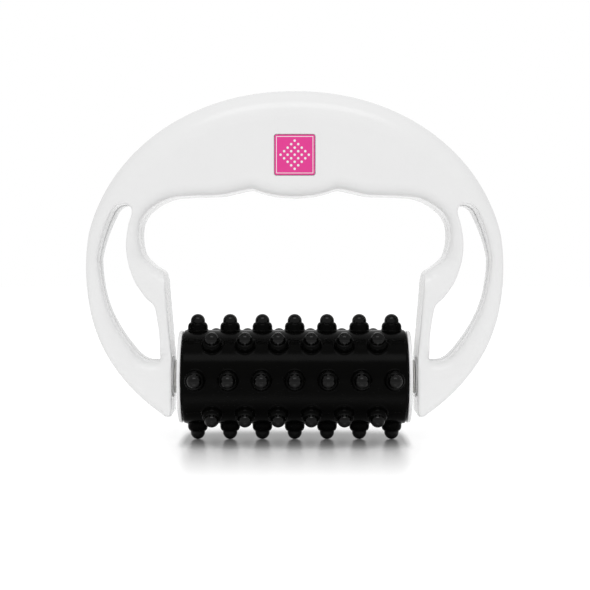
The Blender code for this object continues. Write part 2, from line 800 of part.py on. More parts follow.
def clip(name, side, finish, carrier):
    """A C-shaped clip, pushed into the axle's groove from below."""
    outer_gap = math.degrees(math.asin(CLIP_MOUTH / 2 / clip_outer))
    inner_gap = math.degrees(math.asin(CLIP_MOUTH / 2 / clip_inner))
    outline = arc((0, 0), clip_outer, outer_gap - 90, 270 - outer_gap, BORE_STEPS)
    outline += arc((0, 0), clip_inner, 270 - inner_gap, inner_gap - 90, BORE_STEPS)
    mesh = bmesh.new()
    ends = sorted((-side * clip_x, -side * (clip_x + CLIP_THICKNESS)))
    prism(mesh, outline, *ends, ALONG_Y)
    piece(name, mesh, finish, carrier)


def ring_profile(start, length, inner, outer):
    return [(start, inner), (start, outer), (start + length, outer), (start + length, inner)]


def end_cap(name, side, finish, carrier):
    """The disc at the roller's end, with a spigot in the core and a hub round the bush."""
    hub_inner = bush_outer + PART_GAP
    hub_outer = hub_inner + HUB_WALL
    spigot_outer = core_inner - PART_GAP
    spigot_inner = spigot_outer - SPIGOT_WALL
    cap_radius = SLEEVE_RADIUS - CAP_SETBACK
    profile = [
        (hub_x, hub_inner),
        (hub_x, hub_outer),
        (cap_inner_x, hub_outer),
        (cap_inner_x, spigot_inner),
        (hub_x, spigot_inner),
        (hub_x, spigot_outer),
        (cap_inner_x, spigot_outer),
        (cap_inner_x, cap_radius),
        (cap_outer_x - CAP_EDGE_RADIUS, cap_radius),
        (cap_outer_x, cap_radius - CAP_EDGE_RADIUS),
        (cap_outer_x, hub_inner),
    ]
    turned_piece(name, mirrored(profile, side), TUBE_STEPS, finish, carrier)


def bush(name, side, finish, carrier):
    """A flanged bearing bush, pressed into the cap's hub."""
    profile = [
        (hub_x, bush_inner),
        (hub_x, bush_outer),
        (flange_x, bush_outer),
        (flange_x, bush_shoulder),
        (flange_x + BUSH_FLANGE, bush_shoulder),
        (flange_x + BUSH_FLANGE, bush_inner),
    ]
    turned_piece(name, mirrored(profile, side), BORE_STEPS, finish, carrier)


def roller_sleeve(finish, carrier):
    """The soft sleeve: a round-edged tube, and rows of two-step studs round it."""
    end = SLEEVE_LENGTH / 2
    inner = SLEEVE_RADIUS - SLEEVE_WALL
    centre = (end - SLEEVE_EDGE_RADIUS, SLEEVE_RADIUS - SLEEVE_EDGE_RADIUS)
    rounding = arc(centre, SLEEVE_EDGE_RADIUS, 90, 0, 3)
    profile = mirrored(rounding, -1)[::-1] + rounding + [(end, inner), (-end, inner)]
    sleeve = turned_piece("roller_sleeve", profile, TUBE_STEPS, finish, carrier)
    base_radius, top_radius = STUD_BASE_DIAMETER / 2, STUD_TOP_DIAMETER / 2
    base_top = SLEEVE_RADIUS + STUD_BASE_HEIGHT
    root = SLEEVE_RADIUS - STUD_ROOT
    stud = [(root, 0), (root, base_radius), (base_top, base_radius), (base_top, top_radius)]
    stud += [(base_top + STUD_TOP_HEIGHT * up, top_radius * out) for up, out in stud_dome_shares]
    stud += [(tip_radius, 0)]
    mesh = bmesh.new()
    pitch = (SLEEVE_LENGTH - 2 * STUD_END_INSET) / (LONG_ROW_STUDS - 1)
    for row in range(STUD_ROWS):
        count = LONG_ROW_STUDS - row % 2
        turn = Matrix.Rotation(2 * math.pi * row / STUD_ROWS, 4, "X")
        turn @= Matrix.Rotation(-math.pi / 2, 4, "Y")
        for i in range(count):
            place = Matrix.Translation((pitch * (i - (count - 1) / 2), 0, 0))
            turned(mesh, stud, STUD_STEPS, place @ turn)
    boolean(sleeve, "UNION", tool("studs", mesh, carrier))


for old in list(bpy.data.objects):
    bpy.data.objects.remove(old)

white = material("white_plastic", (0.86, 0.86, 0.86), 0.42)
soft_black = material("soft_black", (0.012, 0.012, 0.013), 0.46)
core_plastic = material("core_plastic", (0.10, 0.10, 0.11), 0.55)
bearing_plastic = material("bearing_plastic", (0.72, 0.71, 0.66), 0.38)
steel = material("steel", (0.62, 0.62, 0.63), 0.30, 1.0)
pink = material("label_pink", (0.79, 0.013, 0.22), 0.40)

handle = empty("handle_carrier")
roller = empty("roller_axis")

all_bores = bores(handle)
front = handle_shell("handle_front_shell", -1, all_bores, white, handle)
boolean(front, "DIFFERENCE", label_recess(handle))
handle_shell("handle_rear_shell", 1, all_bores, white, handle)
grip_label(pink, handle)
screws(steel, handle)
axle(steel, handle)
turned_piece(
    "roller_core", ring_profile(-SLEEVE_LENGTH / 2, SLEEVE_LENGTH, core_inner, core_outer),
    TUBE_STEPS, core_plastic, roller,
)
roller_sleeve(soft_black, roller)
for hand, side in SIDES:
    clip(f"axle_clip_{hand}", side, steel, handle)
    washer = ring_profile(washer_x, WASHER_THICKNESS, bush_inner, bush_shoulder)
    turned_piece(f"thrust_washer_{hand}", mirrored(washer, side), BORE_STEPS, bearing_plastic, handle)
    end_cap(f"end_cap_{hand}", side, white, roller)
    bush(f"bush_{hand}", side, bearing_plastic, roller)
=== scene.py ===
import math

import bmesh
import bpy
import numpy as np
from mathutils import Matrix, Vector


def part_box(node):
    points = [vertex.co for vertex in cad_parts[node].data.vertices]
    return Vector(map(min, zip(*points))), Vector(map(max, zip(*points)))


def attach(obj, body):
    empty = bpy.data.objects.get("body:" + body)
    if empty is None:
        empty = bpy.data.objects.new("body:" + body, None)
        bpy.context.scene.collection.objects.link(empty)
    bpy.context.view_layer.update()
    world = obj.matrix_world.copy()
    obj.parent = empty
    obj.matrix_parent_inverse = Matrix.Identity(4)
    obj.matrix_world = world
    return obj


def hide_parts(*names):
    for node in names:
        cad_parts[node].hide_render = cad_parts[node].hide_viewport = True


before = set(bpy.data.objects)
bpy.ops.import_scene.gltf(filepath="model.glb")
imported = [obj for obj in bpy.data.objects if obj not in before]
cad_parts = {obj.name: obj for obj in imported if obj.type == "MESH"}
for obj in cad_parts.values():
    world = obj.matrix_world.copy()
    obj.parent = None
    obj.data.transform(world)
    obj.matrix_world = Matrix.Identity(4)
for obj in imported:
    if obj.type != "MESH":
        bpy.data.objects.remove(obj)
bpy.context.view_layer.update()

# Looks of a hand-held body massage roller, in the order in which the real one is put together.
# Metres, with +X along the axle, -Y the labelled front and +Z up. Shapes are worked out about the
# axle's middle, which is at (0, 0, AXLE_HEIGHT).


# Core: the stiff tube inside the roller, injection-moulded in dark ABS. The soft sleeve is pulled
# over it and the end caps are pressed into its ends, so that none of it shows from outside.

CORE_COLOUR = (0.10, 0.10, 0.11)
CORE_ROUGHNESS = 0.55
CLOUD_SIZE = 0.012
CLOUD_SHADE = 0.975
HANDLED_PATCH = 0.004
HANDLED_SPREAD = 0.05


class Signal:
    """A socket that carries a number or a vector. Arithmetic on it adds Math nodes."""

    def __init__(self, nodes, socket):
        self.nodes, self.socket = nodes, socket

    def __add__(self, other):
        return self.nodes.maths("ADD", self, other)

    def __sub__(self, other):
        return self.nodes.maths("SUBTRACT", self, other)

    def __rsub__(self, other):
        return self.nodes.maths("SUBTRACT", other, self)

    def __mul__(self, other):
        return self.nodes.maths("MULTIPLY", self, other)

    def __abs__(self):
        return self.nodes.maths("ABSOLUTE", self)

    __radd__ = __add__
    __rmul__ = __mul__


class Nodes:
    """The nodes of a material or of the world."""

    def __init__(self, owner):
        owner.use_nodes = True
        self.tree = owner.node_tree

    def feed(self, node, inputs):
        """Links or sets a node's sockets, by name or by number."""
        for key, value in inputs.items():
            if isinstance(value, Signal):
                self.tree.links.new(value.socket, node.inputs[key])
            else:
                node.inputs[key].default_value = value

    def node(self, kind, settings=None, inputs=None, output=0):
        """Any node: its settings first, and then the values or links of its sockets."""
        made = self.tree.nodes.new(kind)
        for key, value in (settings or {}).items():
            setattr(made, key, value)
        self.feed(made, inputs or {})
        return Signal(self, made.outputs[output])

    def maths(self, operation, *values):
        return self.node("ShaderNodeMath", {"operation": operation}, dict(enumerate(values)))

    def between(self, value, low, high, start=0, end=1, shape="LINEAR"):
        """From low to high while the value goes from start to end, without overshoot."""
        sockets = {0: value, 1: start, 2: end, 3: low, 4: high}
        return self.node("ShaderNodeMapRange", {"interpolation_type": shape}, sockets)


class Finish(Nodes):
    """A material with one Principled shader. What is the same all over is set on its sockets."""

    def __init__(self, name, colour, roughness, **constants):
        self.material = bpy.data.materials.new(name)
        super().__init__(self.material)
        self.shader = self.tree.nodes["Principled BSDF"]
        self.material.diffuse_color = (*colour, 1)
        self.feed(self.shader, {"Base Color": (*colour, 1), "Roughness": roughness})
        self.feed(self.shader, {key.replace("_", " "): value for key, value in constants.items()})

    def place(self):
        """The piece's own coordinates, which are metres in the frame."""
        return self.node("ShaderNodeTexCoord", output="Object")

    def axes(self):
        """The piece's own x, y and z, one by one."""
        first = self.node("ShaderNodeSeparateXYZ", {}, {0: self.place()})
        return [Signal(self, output) for output in first.socket.node.outputs]

    def noise(self, size, detail, stretch=(1, 1, 1)):
        """Noise from 0 to 1 with features of the given size in metres, longer where stretched."""
        scale = tuple(1 / factor for factor in stretch)
        spot = self.node("ShaderNodeMapping", {}, {"Vector": self.place(), "Scale": scale})
        sockets = {"Vector": spot, "Scale": 1 / size, "Detail": detail}
        return self.node("ShaderNodeTexNoise", {}, sockets)

    def tint(self, share, one, other):
        """A colour between two, by a share from 0 to 1."""
        one, other = (each if isinstance(each, Signal) else (*each, 1) for each in (one, other))
        sockets = {0: share, 6: one, 7: other}
        return self.node("ShaderNodeMix", {"data_type": "RGBA"}, sockets, output=2)

    def clouded(self, colour, size, factor):
        """The colour, and that times a factor in clouds of the given size."""
        clouds = self.between(self.noise(size, 3), 0, 1)
        return self.tint(clouds, tuple(factor * part for part in colour), colour)

    def bump(self, height, depth):
        """A bump of the given depth in metres, fed to the shader's normal."""
        normal = self.node("ShaderNodeBump", {}, {"Height": height, "Distance": depth})
        self.feed(self.shader, {"Normal": normal})


def moulded(name, colour, roughness, grain=0.00022, relief=0.000012, **constants):
    """A moulded plastic: the tool's fine grain, faint flow clouds, and patches that handling has
    left duller."""
    made = Finish(name, colour, roughness, **constants)
    spread = (roughness - HANDLED_SPREAD, roughness + HANDLED_SPREAD)
    made.feed(made.shader, {
        "Base Color": made.clouded(colour, CLOUD_SIZE, CLOUD_SHADE),
        "Roughness": made.between(made.noise(HANDLED_PATCH, 4), *spread),
    })
    made.bump(made.noise(grain, 3), relief)
    return made.material


def finish_nodes(material, *names):
    """Gives CAD nodes whose shape is right their finish."""
    for name in names:
        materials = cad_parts[name].data.materials
        materials.clear()
        materials.append(material)


finish_nodes(moulded("core_plastic", CORE_COLOUR, CORE_ROUGHNESS), "roller_core")


# Sleeve: one soft black moulding of thermoplastic rubber, a tube with eight rows of two-step studs.
# The rows hold seven and six studs in turn, set between each other. It grips the core by its own
# stretch. Its round end edges show in front of the white end caps.

AXLE_HEIGHT = 0.0270
SLEEVE_LENGTH = 0.0954
SLEEVE_RADIUS = 0.0201
SLEEVE_BORE = 0.0170
SLEEVE_EDGE = 0.0011
STUD_ROWS = 8
LONG_ROW = 7
STUD_PITCH = 0.01393
STUD_BASE = 0.0043
STUD_BASE_TOP = 0.0233
STUD_KNOB = 0.0031
STUD_DOME_FOOT = 0.0240
STUD_TIP = 0.0270
FOOT_FILLET = 0.0006
SHOULDER_DROP = 0.0017
SHOULDER_POWER = 1.3
KNOB_FILLET = 0.00025
FILLET_STEPS = 3
WALL_STEPS = 3
SHOULDER_STEPS = 6
DOME_STEPS = 9
SLEEVE_EDGE_STEPS = 7
CELL_SIDE_STEPS = 12
LAND_SHARES = (0, 0.3, 0.6, 0.85)

SLEEVE_COLOUR = (0.0012, 0.0012, 0.0011)
RUBBER_GRAIN = 0.00025
RUBBER_RELIEF = 0.000010
RUBBER_ROUGHNESS = 0.16
WORN_PATCH = 0.003
WORN_ROUGHNESS = (0.13, 0.22)
DUST_PATCH = 0.009
DUST_SHADE = 1.9
DUST_MOST = 0.6
TIP_POLISH = 0.04
KNOB_SHEEN = 0.23

WELD = 1e-7
SMOOTH_BELOW = math.radians(38)


def sheet_part(points):
    """A grid of points of shape (rows, columns, 3), as its vertices and its quads."""
    at = np.arange(points[..., 0].size).reshape(points.shape[:2])
    quads = np.stack([at[:-1, :-1], at[:-1, 1:], at[1:, 1:], at[1:, :-1]], axis=2)
    return points.reshape(-1, 3), quads.reshape(-1, 4)


def mirrored_parts(parts):
    """The parts and their mirror images in the middle plane, x to -x."""
    return parts + [(points * (-1, 1, 1), quads[:, ::-1]) for points, quads in parts]


def closed_mesh(name, parts):
    """One closed mesh of the parts. Points nearer than WELD are one vertex, a quad that shrinks
    at a pole is a triangle, and the faces point outwards."""
    starts = np.cumsum([0] + [len(points) for points, _ in parts])
    points = np.vstack([points for points, _ in parts]) + (0, 0, AXLE_HEIGHT)
    quads = np.vstack([quads + start for (_, quads), start in zip(parts, starts)])
    places = np.round(points / WELD).astype(np.int64)
    _, first, index = np.unique(places, axis=0, return_index=True, return_inverse=True)
    corners = index.ravel()[quads]
    kept = corners != np.roll(corners, 1, axis=1)
    sizes = kept.sum(axis=1)
    whole = sizes > 2
    corners, kept, sizes = corners[whole], kept[whole], sizes[whole]
    mesh = bpy.data.meshes.new(name)
    mesh.vertices.add(len(first))
    mesh.vertices.foreach_set("co", points[first].ravel())
    mesh.loops.add(int(sizes.sum()))
    mesh.loops.foreach_set("vertex_index", corners[kept])
    mesh.polygons.add(len(sizes))
    mesh.polygons.foreach_set("loop_start", np.cumsum(sizes) - sizes)
    mesh.update(calc_edges=True)
    mesh.validate()
    turned = bmesh.new()
    turned.from_mesh(mesh)
    bmesh.ops.recalc_face_normals(turned, faces=turned.faces)
    turned.to_mesh(mesh)
    turned.free()
    return mesh


def linked(name, data):
    """A new object of the scene with this mesh, lamp or camera."""
    made = bpy.data.objects.new(name, data)
    bpy.context.scene.collection.objects.link(made)
    return made


def piece(name, mesh, material, body, slot, *replaced):
    """A visible piece on its body, in place of the CAD nodes it stands for."""
    mesh.shade_smooth()
    mesh.set_sharp_from_angle(angle=SMOOTH_BELOW)
    mesh.materials.append(material)
    made = linked(name, mesh)
    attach(made, body)
    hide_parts(*replaced)


def round_corner(centre, radius, start, end, steps):
    """Points of a circular arc between two angles in degrees: centre plus radius times (cos, sin)."""
    angles = np.radians(np.linspace(start, end, steps + 1))
    return np.array(centre) + radius * np.column_stack([np.cos(angles), np.sin(angles)])


def about_axle(x, radius, angle):
    """The points (x, r sin a, r cos a), for a radius r and an angle a about the axle."""
    sides = np.broadcast_arrays(x, radius * np.sin(angle), radius * np.cos(angle))
    return np.stack(sides, axis=-1)


def lathe(profile, steps):
    """A surface of revolution about X: each (x, r) of the profile becomes a ring, all the way
    round the axle."""
    x, radius = np.asarray(profile).T[:, :, None]
    return sheet_part(about_axle(x, radius, np.linspace(0, 2 * np.pi, steps + 1)))


def stud_profile():
    """A stud from its foot to its tip, as rows of (distance from its own axis, height above the
    sleeve, height above the roller's axis, share of the second height). The wall's shoulder goes
    across and up by powers of the cosine and sine of an angle. The knob's dome is a quarter of an
    ellipse."""
    foot = round_corner((STUD_BASE + FOOT_FILLET, FOOT_FILLET), FOOT_FILLET, 270, 180, FILLET_STEPS)
    wall_top = STUD_BASE_TOP - SHOULDER_DROP
    wall = np.tile((STUD_BASE, FOOT_FILLET, wall_top, 1), (WALL_STEPS, 1))
    wall[:, 3] = np.linspace(0, 1, WALL_STEPS + 1)[1:]
    neck_foot = STUD_KNOB + KNOB_FILLET
    angles = np.radians(np.linspace(0, 90, SHOULDER_STEPS + 1))[1:]
    inward, upward = (side.clip(0) ** SHOULDER_POWER for side in (np.cos(angles), np.sin(angles)))
    shoulder = np.column_stack([
        neck_foot + (STUD_BASE - neck_foot) * inward, wall_top + SHOULDER_DROP * upward,
    ])
    neck_middle = (neck_foot, STUD_BASE_TOP + KNOB_FILLET)
    neck = round_corner(neck_middle, KNOB_FILLET, 270, 180, FILLET_STEPS)[1:]
    angles = np.radians(np.linspace(0, 90, DOME_STEPS + 1))
    height = STUD_DOME_FOOT + (STUD_TIP - STUD_DOME_FOOT) * np.sin(angles)
    dome = np.column_stack([STUD_KNOB * np.cos(angles), height])
    dome[-1, 0] = 0
    upper = np.vstack([shoulder, neck, dome])
    upper = np.insert(upper, (1, 2), (0, 1), axis=1)
    return np.vstack([np.column_stack([foot, 0 * foot]), wall, upper])


def sleeve_parts():
    """The sleeve as cells, one round each stud, and the strips that close it.

    A cell is a rectangle of the unrolled sleeve. Its rings go from the rectangle's edge to the foot
    of the stud and then up the stud: a point at angle f and distance d from the stud's axis stands
    d cos f along the roller and d sin f round it. Its height goes from the sleeve's, the root of
    radius squared less (d sin f) squared, to a level one."""
    count = 4 * CELL_SIDE_STEPS
    turn = np.linspace(0, 4, count + 1)
    edge_x = np.interp(turn, range(5), [-1, 1, 1, -1, -1]) * STUD_PITCH / 2
    edge_angle = np.interp(turn, range(5), [-1, -1, 1, 1, -1]) * np.pi / STUD_ROWS
    round_the_stud = np.pi / 2 * turn - 3 * np.pi / 4
    flat_end = SLEEVE_LENGTH / 2 - SLEEVE_EDGE
    last_stud = STUD_PITCH * (LONG_ROW - 1) / 2

    def fitted(x):
        """Squeezes what lies beyond the last stud on to the sleeve."""
        beyond = np.maximum(np.abs(x) - last_stud, 0)
        return np.sign(x) * (np.abs(x) - beyond * (1 - (flat_end - last_stud) / (STUD_PITCH / 2)))

    places = [
        (STUD_PITCH * (i - (LONG_ROW - row % 2 - 1) / 2), 2 * np.pi * row / STUD_ROWS)
        for row in range(STUD_ROWS)
        for i in range(LONG_ROW - row % 2)
    ]
    centre_x, centre_angle = np.array(places).T[:, :, None, None]
    profile = stud_profile()
    foot_radius = profile[0, 0]
    share = np.array(LAND_SHARES)[:, None]
    rim_x = fitted(centre_x + edge_x)
    foot_x = centre_x + foot_radius * np.cos(round_the_stud)
    foot_angle = np.arcsin(foot_radius * np.sin(round_the_stud) / SLEEVE_RADIUS)
    land_x = (1 - share) * rim_x + share * foot_x
    land_angle = centre_angle + (1 - share) * edge_angle + share * foot_angle
    land = about_axle(land_x, SLEEVE_RADIUS, land_angle)

    out, over, level, levelled = profile.T[:, :, None]
    sideways = out * np.sin(round_the_stud)
    height = (1 - levelled) * (np.sqrt(SLEEVE_RADIUS**2 - sideways**2) + over) + levelled * level
    stud = np.stack([
        centre_x + out * np.cos(round_the_stud),
        height * np.sin(centre_angle) + sideways * np.cos(centre_angle),
        height * np.cos(centre_angle) - sideways * np.sin(centre_angle),
    ], axis=3)
    cells = np.concatenate([land, stud], axis=1)
    parts = [sheet_part(cell) for cell in cells]

    strip_x = fitted(np.linspace(last_stud, last_stud + STUD_PITCH / 2, CELL_SIDE_STEPS // 2 + 1))
    half_row = np.pi / STUD_ROWS
    for row in range(1, STUD_ROWS, 2):
        angles = 2 * half_row * row + np.linspace(-half_row, half_row, CELL_SIDE_STEPS + 1)
        strip = about_axle(strip_x[:, None], SLEEVE_RADIUS, angles)
        parts += mirrored_parts([sheet_part(strip)])

    end = SLEEVE_LENGTH / 2
    middle = (flat_end, SLEEVE_RADIUS - SLEEVE_EDGE)
    edge = round_corner(middle, SLEEVE_EDGE, 90, 0, SLEEVE_EDGE_STEPS)
    half = np.vstack([edge, [(end, SLEEVE_BORE), (end / 2, SLEEVE_BORE), (0, SLEEVE_BORE)]])
    parts += mirrored_parts([lathe(half, STUD_ROWS * CELL_SIDE_STEPS)])
    return parts


def soft_rubber(name, colour):
    """Satin moulded rubber: a fine even grain, greyer where dust clings to it. The studs' knobs,
    which skin and hair polish, have a sheen and smoother tips."""
    made = Finish(name, colour, RUBBER_ROUGHNESS, Specular_IOR_Level=0.02, Coat_Roughness=0.08)
    _, y, z = made.axes()
    radius = made.maths("SQRT", y * y + (z - AXLE_HEIGHT) * (z - AXLE_HEIGHT))
    tip = made.between(radius, 0, TIP_POLISH, STUD_DOME_FOOT, STUD_TIP)
    dust = made.between(made.noise(DUST_PATCH, 4), 0, DUST_MOST)
    made.feed(made.shader, {
        "Base Color": made.tint(dust, colour, tuple(DUST_SHADE * part for part in colour)),
        "Roughness": made.between(made.noise(WORN_PATCH, 4), *WORN_ROUGHNESS) - tip,
        "Coat Weight": made.between(radius, 0, KNOB_SHEEN, STUD_BASE_TOP, STUD_DOME_FOOT),
    })
    made.bump(made.noise(RUBBER_GRAIN, 2), RUBBER_RELIEF)
    return made.material


sleeve_black = soft_rubber("sleeve_black", SLEEVE_COLOUR)
sleeve = closed_mesh("studded_sleeve", sleeve_parts())
piece("studded_sleeve", sleeve, sleeve_black, "roller", "sleeve_black", "roller_sleeve")


# End caps: thin white discs at the two ends of the roller, moulded in the same ABS as the grip. A
# spigot behind each one is pressed into the core, and a hub inside it holds the bush.

CAP_INNER = 0.0480
CAP_OUTER = 0.0495
CAP_RADIUS = 0.0198
CAP_EDGE = 0.00045
CAP_HUB_INNER = 0.0053
CAP_HUB_OUTER = 0.0075
SPIGOT_INNER = 0.0115
SPIGOT_OUTER = 0.0139
SPIGOT_END = 0.0400
CAP_STEPS = 128
CAP_EDGE_STEPS = 4
WHITE = (0.86, 0.86, 0.86)
WHITE_ROUGHNESS = 0.16


def cap_profile():
    """A section of the right-hand cap as (x, r): hub, spigot, and the disc with its round rim."""
    rim = CAP_RADIUS - CAP_EDGE
    back = round_corner((CAP_INNER + CAP_EDGE, rim), CAP_EDGE, 180, 90, CAP_EDGE_STEPS)
    front = round_corner((CAP_OUTER - CAP_EDGE, rim), CAP_EDGE, 90, 0, CAP_EDGE_STEPS)
    hub = [(CAP_OUTER, CAP_HUB_INNER), (SPIGOT_END, CAP_HUB_INNER), (SPIGOT_END, CAP_HUB_OUTER)]
    well = [(CAP_INNER, CAP_HUB_OUTER), (CAP_INNER, SPIGOT_INNER)]
    spigot = [(SPIGOT_END, SPIGOT_INNER), (SPIGOT_END, SPIGOT_OUTER), (CAP_INNER, SPIGOT_OUTER)]
    return np.vstack([hub, well, spigot, back, front, hub[:1]])


shine = {"relief": 0.000006, "Specular_IOR_Level": 0.15}
white_plastic = moulded("white_plastic", WHITE, WHITE_ROUGHNESS, **shine)
for side, hand in ((1, "right"), (-1, "left")):
    disc = closed_mesh(f"end_disc_{hand}", [lathe(cap_profile() * (side, 1), CAP_STEPS)])
    piece(f"end_disc_{hand}", disc, white_plastic, "roller", "cap_white", f"end_cap_{hand}")


# Bushes and thrust washers: turned in natural acetal. The flanged bushes are pressed into the end
# caps and run on the axle. The washers lie between their flanges and the legs.

BEARING_COLOUR = (0.82, 0.81, 0.77)
BEARING_ROUGHNESS = 0.20
TURNING_MARK = 0.0006
TURNING_RELIEF = 0.000006

turning = {"grain": TURNING_MARK, "relief": TURNING_RELIEF}
bearing_plastic = moulded("bearing_plastic", BEARING_COLOUR, BEARING_ROUGHNESS, **turning)
for hand in ("left", "right"):
    finish_nodes(bearing_plastic, f"bush_{hand}", f"thrust_washer_{hand}")


# Axle and clips: a drawn steel rod, zinc-plated, with a groove near each end. Spring clips pushed
# into the grooves lie in pockets of the legs and keep the rod from sliding out.

STEEL = (0.60, 0.60, 0.62)
STEEL_ROUGHNESS = (0.2, 0.42)
BLUISH = (0.93, 0.96, 1.02)
MARK_SIZE = 0.00015
MARK_SHARE = 0.6
MARK_RELIEF = 0.000004
ZINC_CLOUD = 0.002
DRAWN_STRETCH = (40, 1, 1)


def plated_steel(name, colour, stretch):
    """Bright zinc plating: fine draw or turning marks along one direction and cloudy patches."""
    made = Finish(name, colour, sum(STEEL_ROUGHNESS) / 2, Metallic=1.0)
    marks = made.noise(MARK_SIZE, 2, stretch)
    clouds = made.noise(ZINC_CLOUD, 3)
    bluish = tuple(part * factor for part, factor in zip(colour, BLUISH))
    mixed = marks * MARK_SHARE + clouds * (1 - MARK_SHARE)
    made.feed(made.shader, {
        "Base Color": made.tint(made.between(clouds, 0, 1), colour, bluish),
        "Roughness": made.between(mixed, *STEEL_ROUGHNESS),
    })
    made.bump(marks, MARK_RELIEF)
    return made.material


drawn_steel = plated_steel("drawn_steel", STEEL, DRAWN_STRETCH)
finish_nodes(drawn_steel, "axle", "axle_clip_left", "axle_clip_right")


# Grip: two half shells of white ABS, parted in the middle plane and screwed together from behind.
# Each half has the ring with its crowned face, the finger rests, and on both sides a slot between
# the thinned arc and the arm that ends in the leg. The legs' inner faces carry the axle's seats.

HALF_WIDTH = 0.0890
RING_RADIUS = 0.0770
RING_RISE = 0.0456
RING_EXPONENT = 2.06
RING_FOOT_SHARE = 0.8013
FINGER_Z = 0.0771
LEG_FACE = 0.0522
FOOT_Z = -0.0161
FOOT_X = 0.0547
LEAN_Z = 0.0092
SLOT_FLOOR = 0.0071
SLOT_TOP = 0.0739
LEG_WIDTH = 0.0050
ARC_WIDTHS = ((0, 0.28, 0.66, 1), (0.0100, 0.0075, 0.0050, 0.0066))
TOE_RADIUS = 0.0011
LIP_RADIUS = 0.0016
SLOT_RADII = (0.0020, 0.0080, 0.0042, 0.0042)
GRIP_HALF = 0.0140
LEG_HALF = 0.0130
ARC_HALF = 0.0085
ARC_THIN_SHARES = (0.82, 0.92)
DEEPENING = (0.45, 1.00)
RING_BANDS = (
    (0, 0.44, 0.56, 0.65, 0.80, 1),
    (0.0032, 0.0024, 0.0024, 0.0074, 0.0100, 0.0126),
)
OPENING_BANDS = (
    (0, 0.54, 0.585, 0.66, 0.76, 0.92, 1.10),
    (0.0013, 0.0013, 0.0085, 0.0085, 0.0042, 0.0050, 0.0050),
)
SLOT_BANDS = ((0, 0.16, 0.50, 1), (0.0070, 0.0070, 0.0024, 0.0011))
ARM_SLOT_BAND = 0.0011
BAND_FALL = 0.70
BAND_BLEND = 4
PARTING = 0.00015
PARTING_BEVEL = 0.00022
LINE_STEP = 0.0003
TURN_LENGTH = 0.003
AXLE_BORE = 0.0033
AXLE_BORE_START = 0.0497
CLIP_POCKET = 0.0057
CLIP_POCKET_START = 0.0579
CLIP_POCKET_END = 0.0635
SEAT_START = 0.0517
SEAT_END = 0.0537
SEAT_RADIUS = 0.0087
SEAT_EDGE = 0.0002
SCREW_PLACES = ("grip", "shoulder", "foot")
SCREWS = [f"{place}_screw_{hand}" for place in SCREW_PLACES for hand in ("left", "right")]
SCREW_BORE = 0.0018
SCREW_HOLE_END = -0.0099
HEAD_BORE = 0.0031
HEAD_BORE_START = 0.0047
HEAD_CHAMFER = 0.0003
CHAMFER_OVERRUN = 0.0006
HOLE_STEPS = 72
LABEL_RISE = 0.0947
RECESS_HALF = 0.0088
RECESS_CORNER = 0.0011
RECESS_FLOOR = -0.0131
RECESS_MOUTH = -0.0160
CORNER_STEPS = 8

# The hand opening's edge from the lip round the lobe and along the finger rests to the middle.
# Across: 1 is the leg's face and 2 the ring's widest point. Up: 0 is the axle, 1 the finger rests.
OPENING_KNOTS = (
    (1.087, 0.585), (1.198, 0.617), (1.318, 0.669), (1.364, 0.726), (1.380, 0.785), (1.364, 0.852),
    (1.296, 0.909), (1.160, 0.961), (0.996, 0.994), (0.851, 1.004), (0.607, 1.010), (0.471, 1.028),
    (0.353, 1.043), (0.276, 1.028), (0.149, 1.008), (0.000, 1.000),
)
# The slot's edge along the arm, above the straight leg, in the same shares.
ARM_KNOTS = (
    (1.174, 0.357), (1.209, 0.406), (1.304, 0.450), (1.418, 0.532), (1.495, 0.636), (1.519, 0.735),
    (1.495, 0.834), (1.448, 0.916), (1.430, 1.000),
)

# Where the slot's line starts, and where the arm's two edges are divided, from its top down.
ARM_SPLIT = (0.0705, 0.0500)
ARM_STATIONS = ((0.0662, 0.0605), (0.0548, 0.0440), (0.0537, 0.0275))
SLOT_STATIONS = ((0.0709, 0.0605), (0.0678, 0.0420), (0.0586, 0.0275))
LEG_STATION_SHARE = 0.91

# Cells of the grids: across the arm, the slot's roof or floor, and the arc; and along the grip, the
# four stretches of the arm, the arc and the foot.
ARM_CELLS = 24
ROOF_CELLS = 18
ARC_CELLS = 24
GRIP_ALONG = 130
ARM_ALONG = (14, 34, 24, 20)
ARC_ALONG = 80
FOOT_ALONG = 32
WALL_SHARES = (0.35, 0.70)
CROWDING_POWER = 1.5
KNOT_STEPS = 24
BEND_STEPS = 24
RING_LOW_STEPS = 240
RING_HIGH_STEPS = 400
POINTS_AT_ONCE = 1500


def across(share):
    """A distance from the middle, by such a share."""
    return LEG_FACE * np.minimum(share, 1) + (HALF_WIDTH - LEG_FACE) * np.maximum(share - 1, 0)


def smooth_line(knots):
    """A Catmull-Rom curve through the knots: each stretch is a cubic of its share of the way, with
    slopes of half the distance between the knots on either side."""
    knots = np.asarray(knots)
    ends = np.vstack([2 * knots[0] - knots[1], knots, 2 * knots[-1] - knots[-2]])
    a, b, c, d = (ends[k : k + len(knots) - 1, None] for k in range(4))
    t = np.linspace(0, 1, KNOT_STEPS, endpoint=False)[None, :, None]
    square, cube = 2 * a - 5 * b + 4 * c - d, 3 * b - a - 3 * c + d
    curve = b + 0.5 * ((c - a) * t + square * t**2 + cube * t**3)
    return np.vstack([curve.reshape(-1, 2), knots[-1:]])


def ring_half(share):
    """How wide the ring is at a share of the way from its widest point to its top: the e-th root
    of one less the share to the power e."""
    return (1 - np.abs(share) ** RING_EXPONENT) ** (1 / RING_EXPONENT)


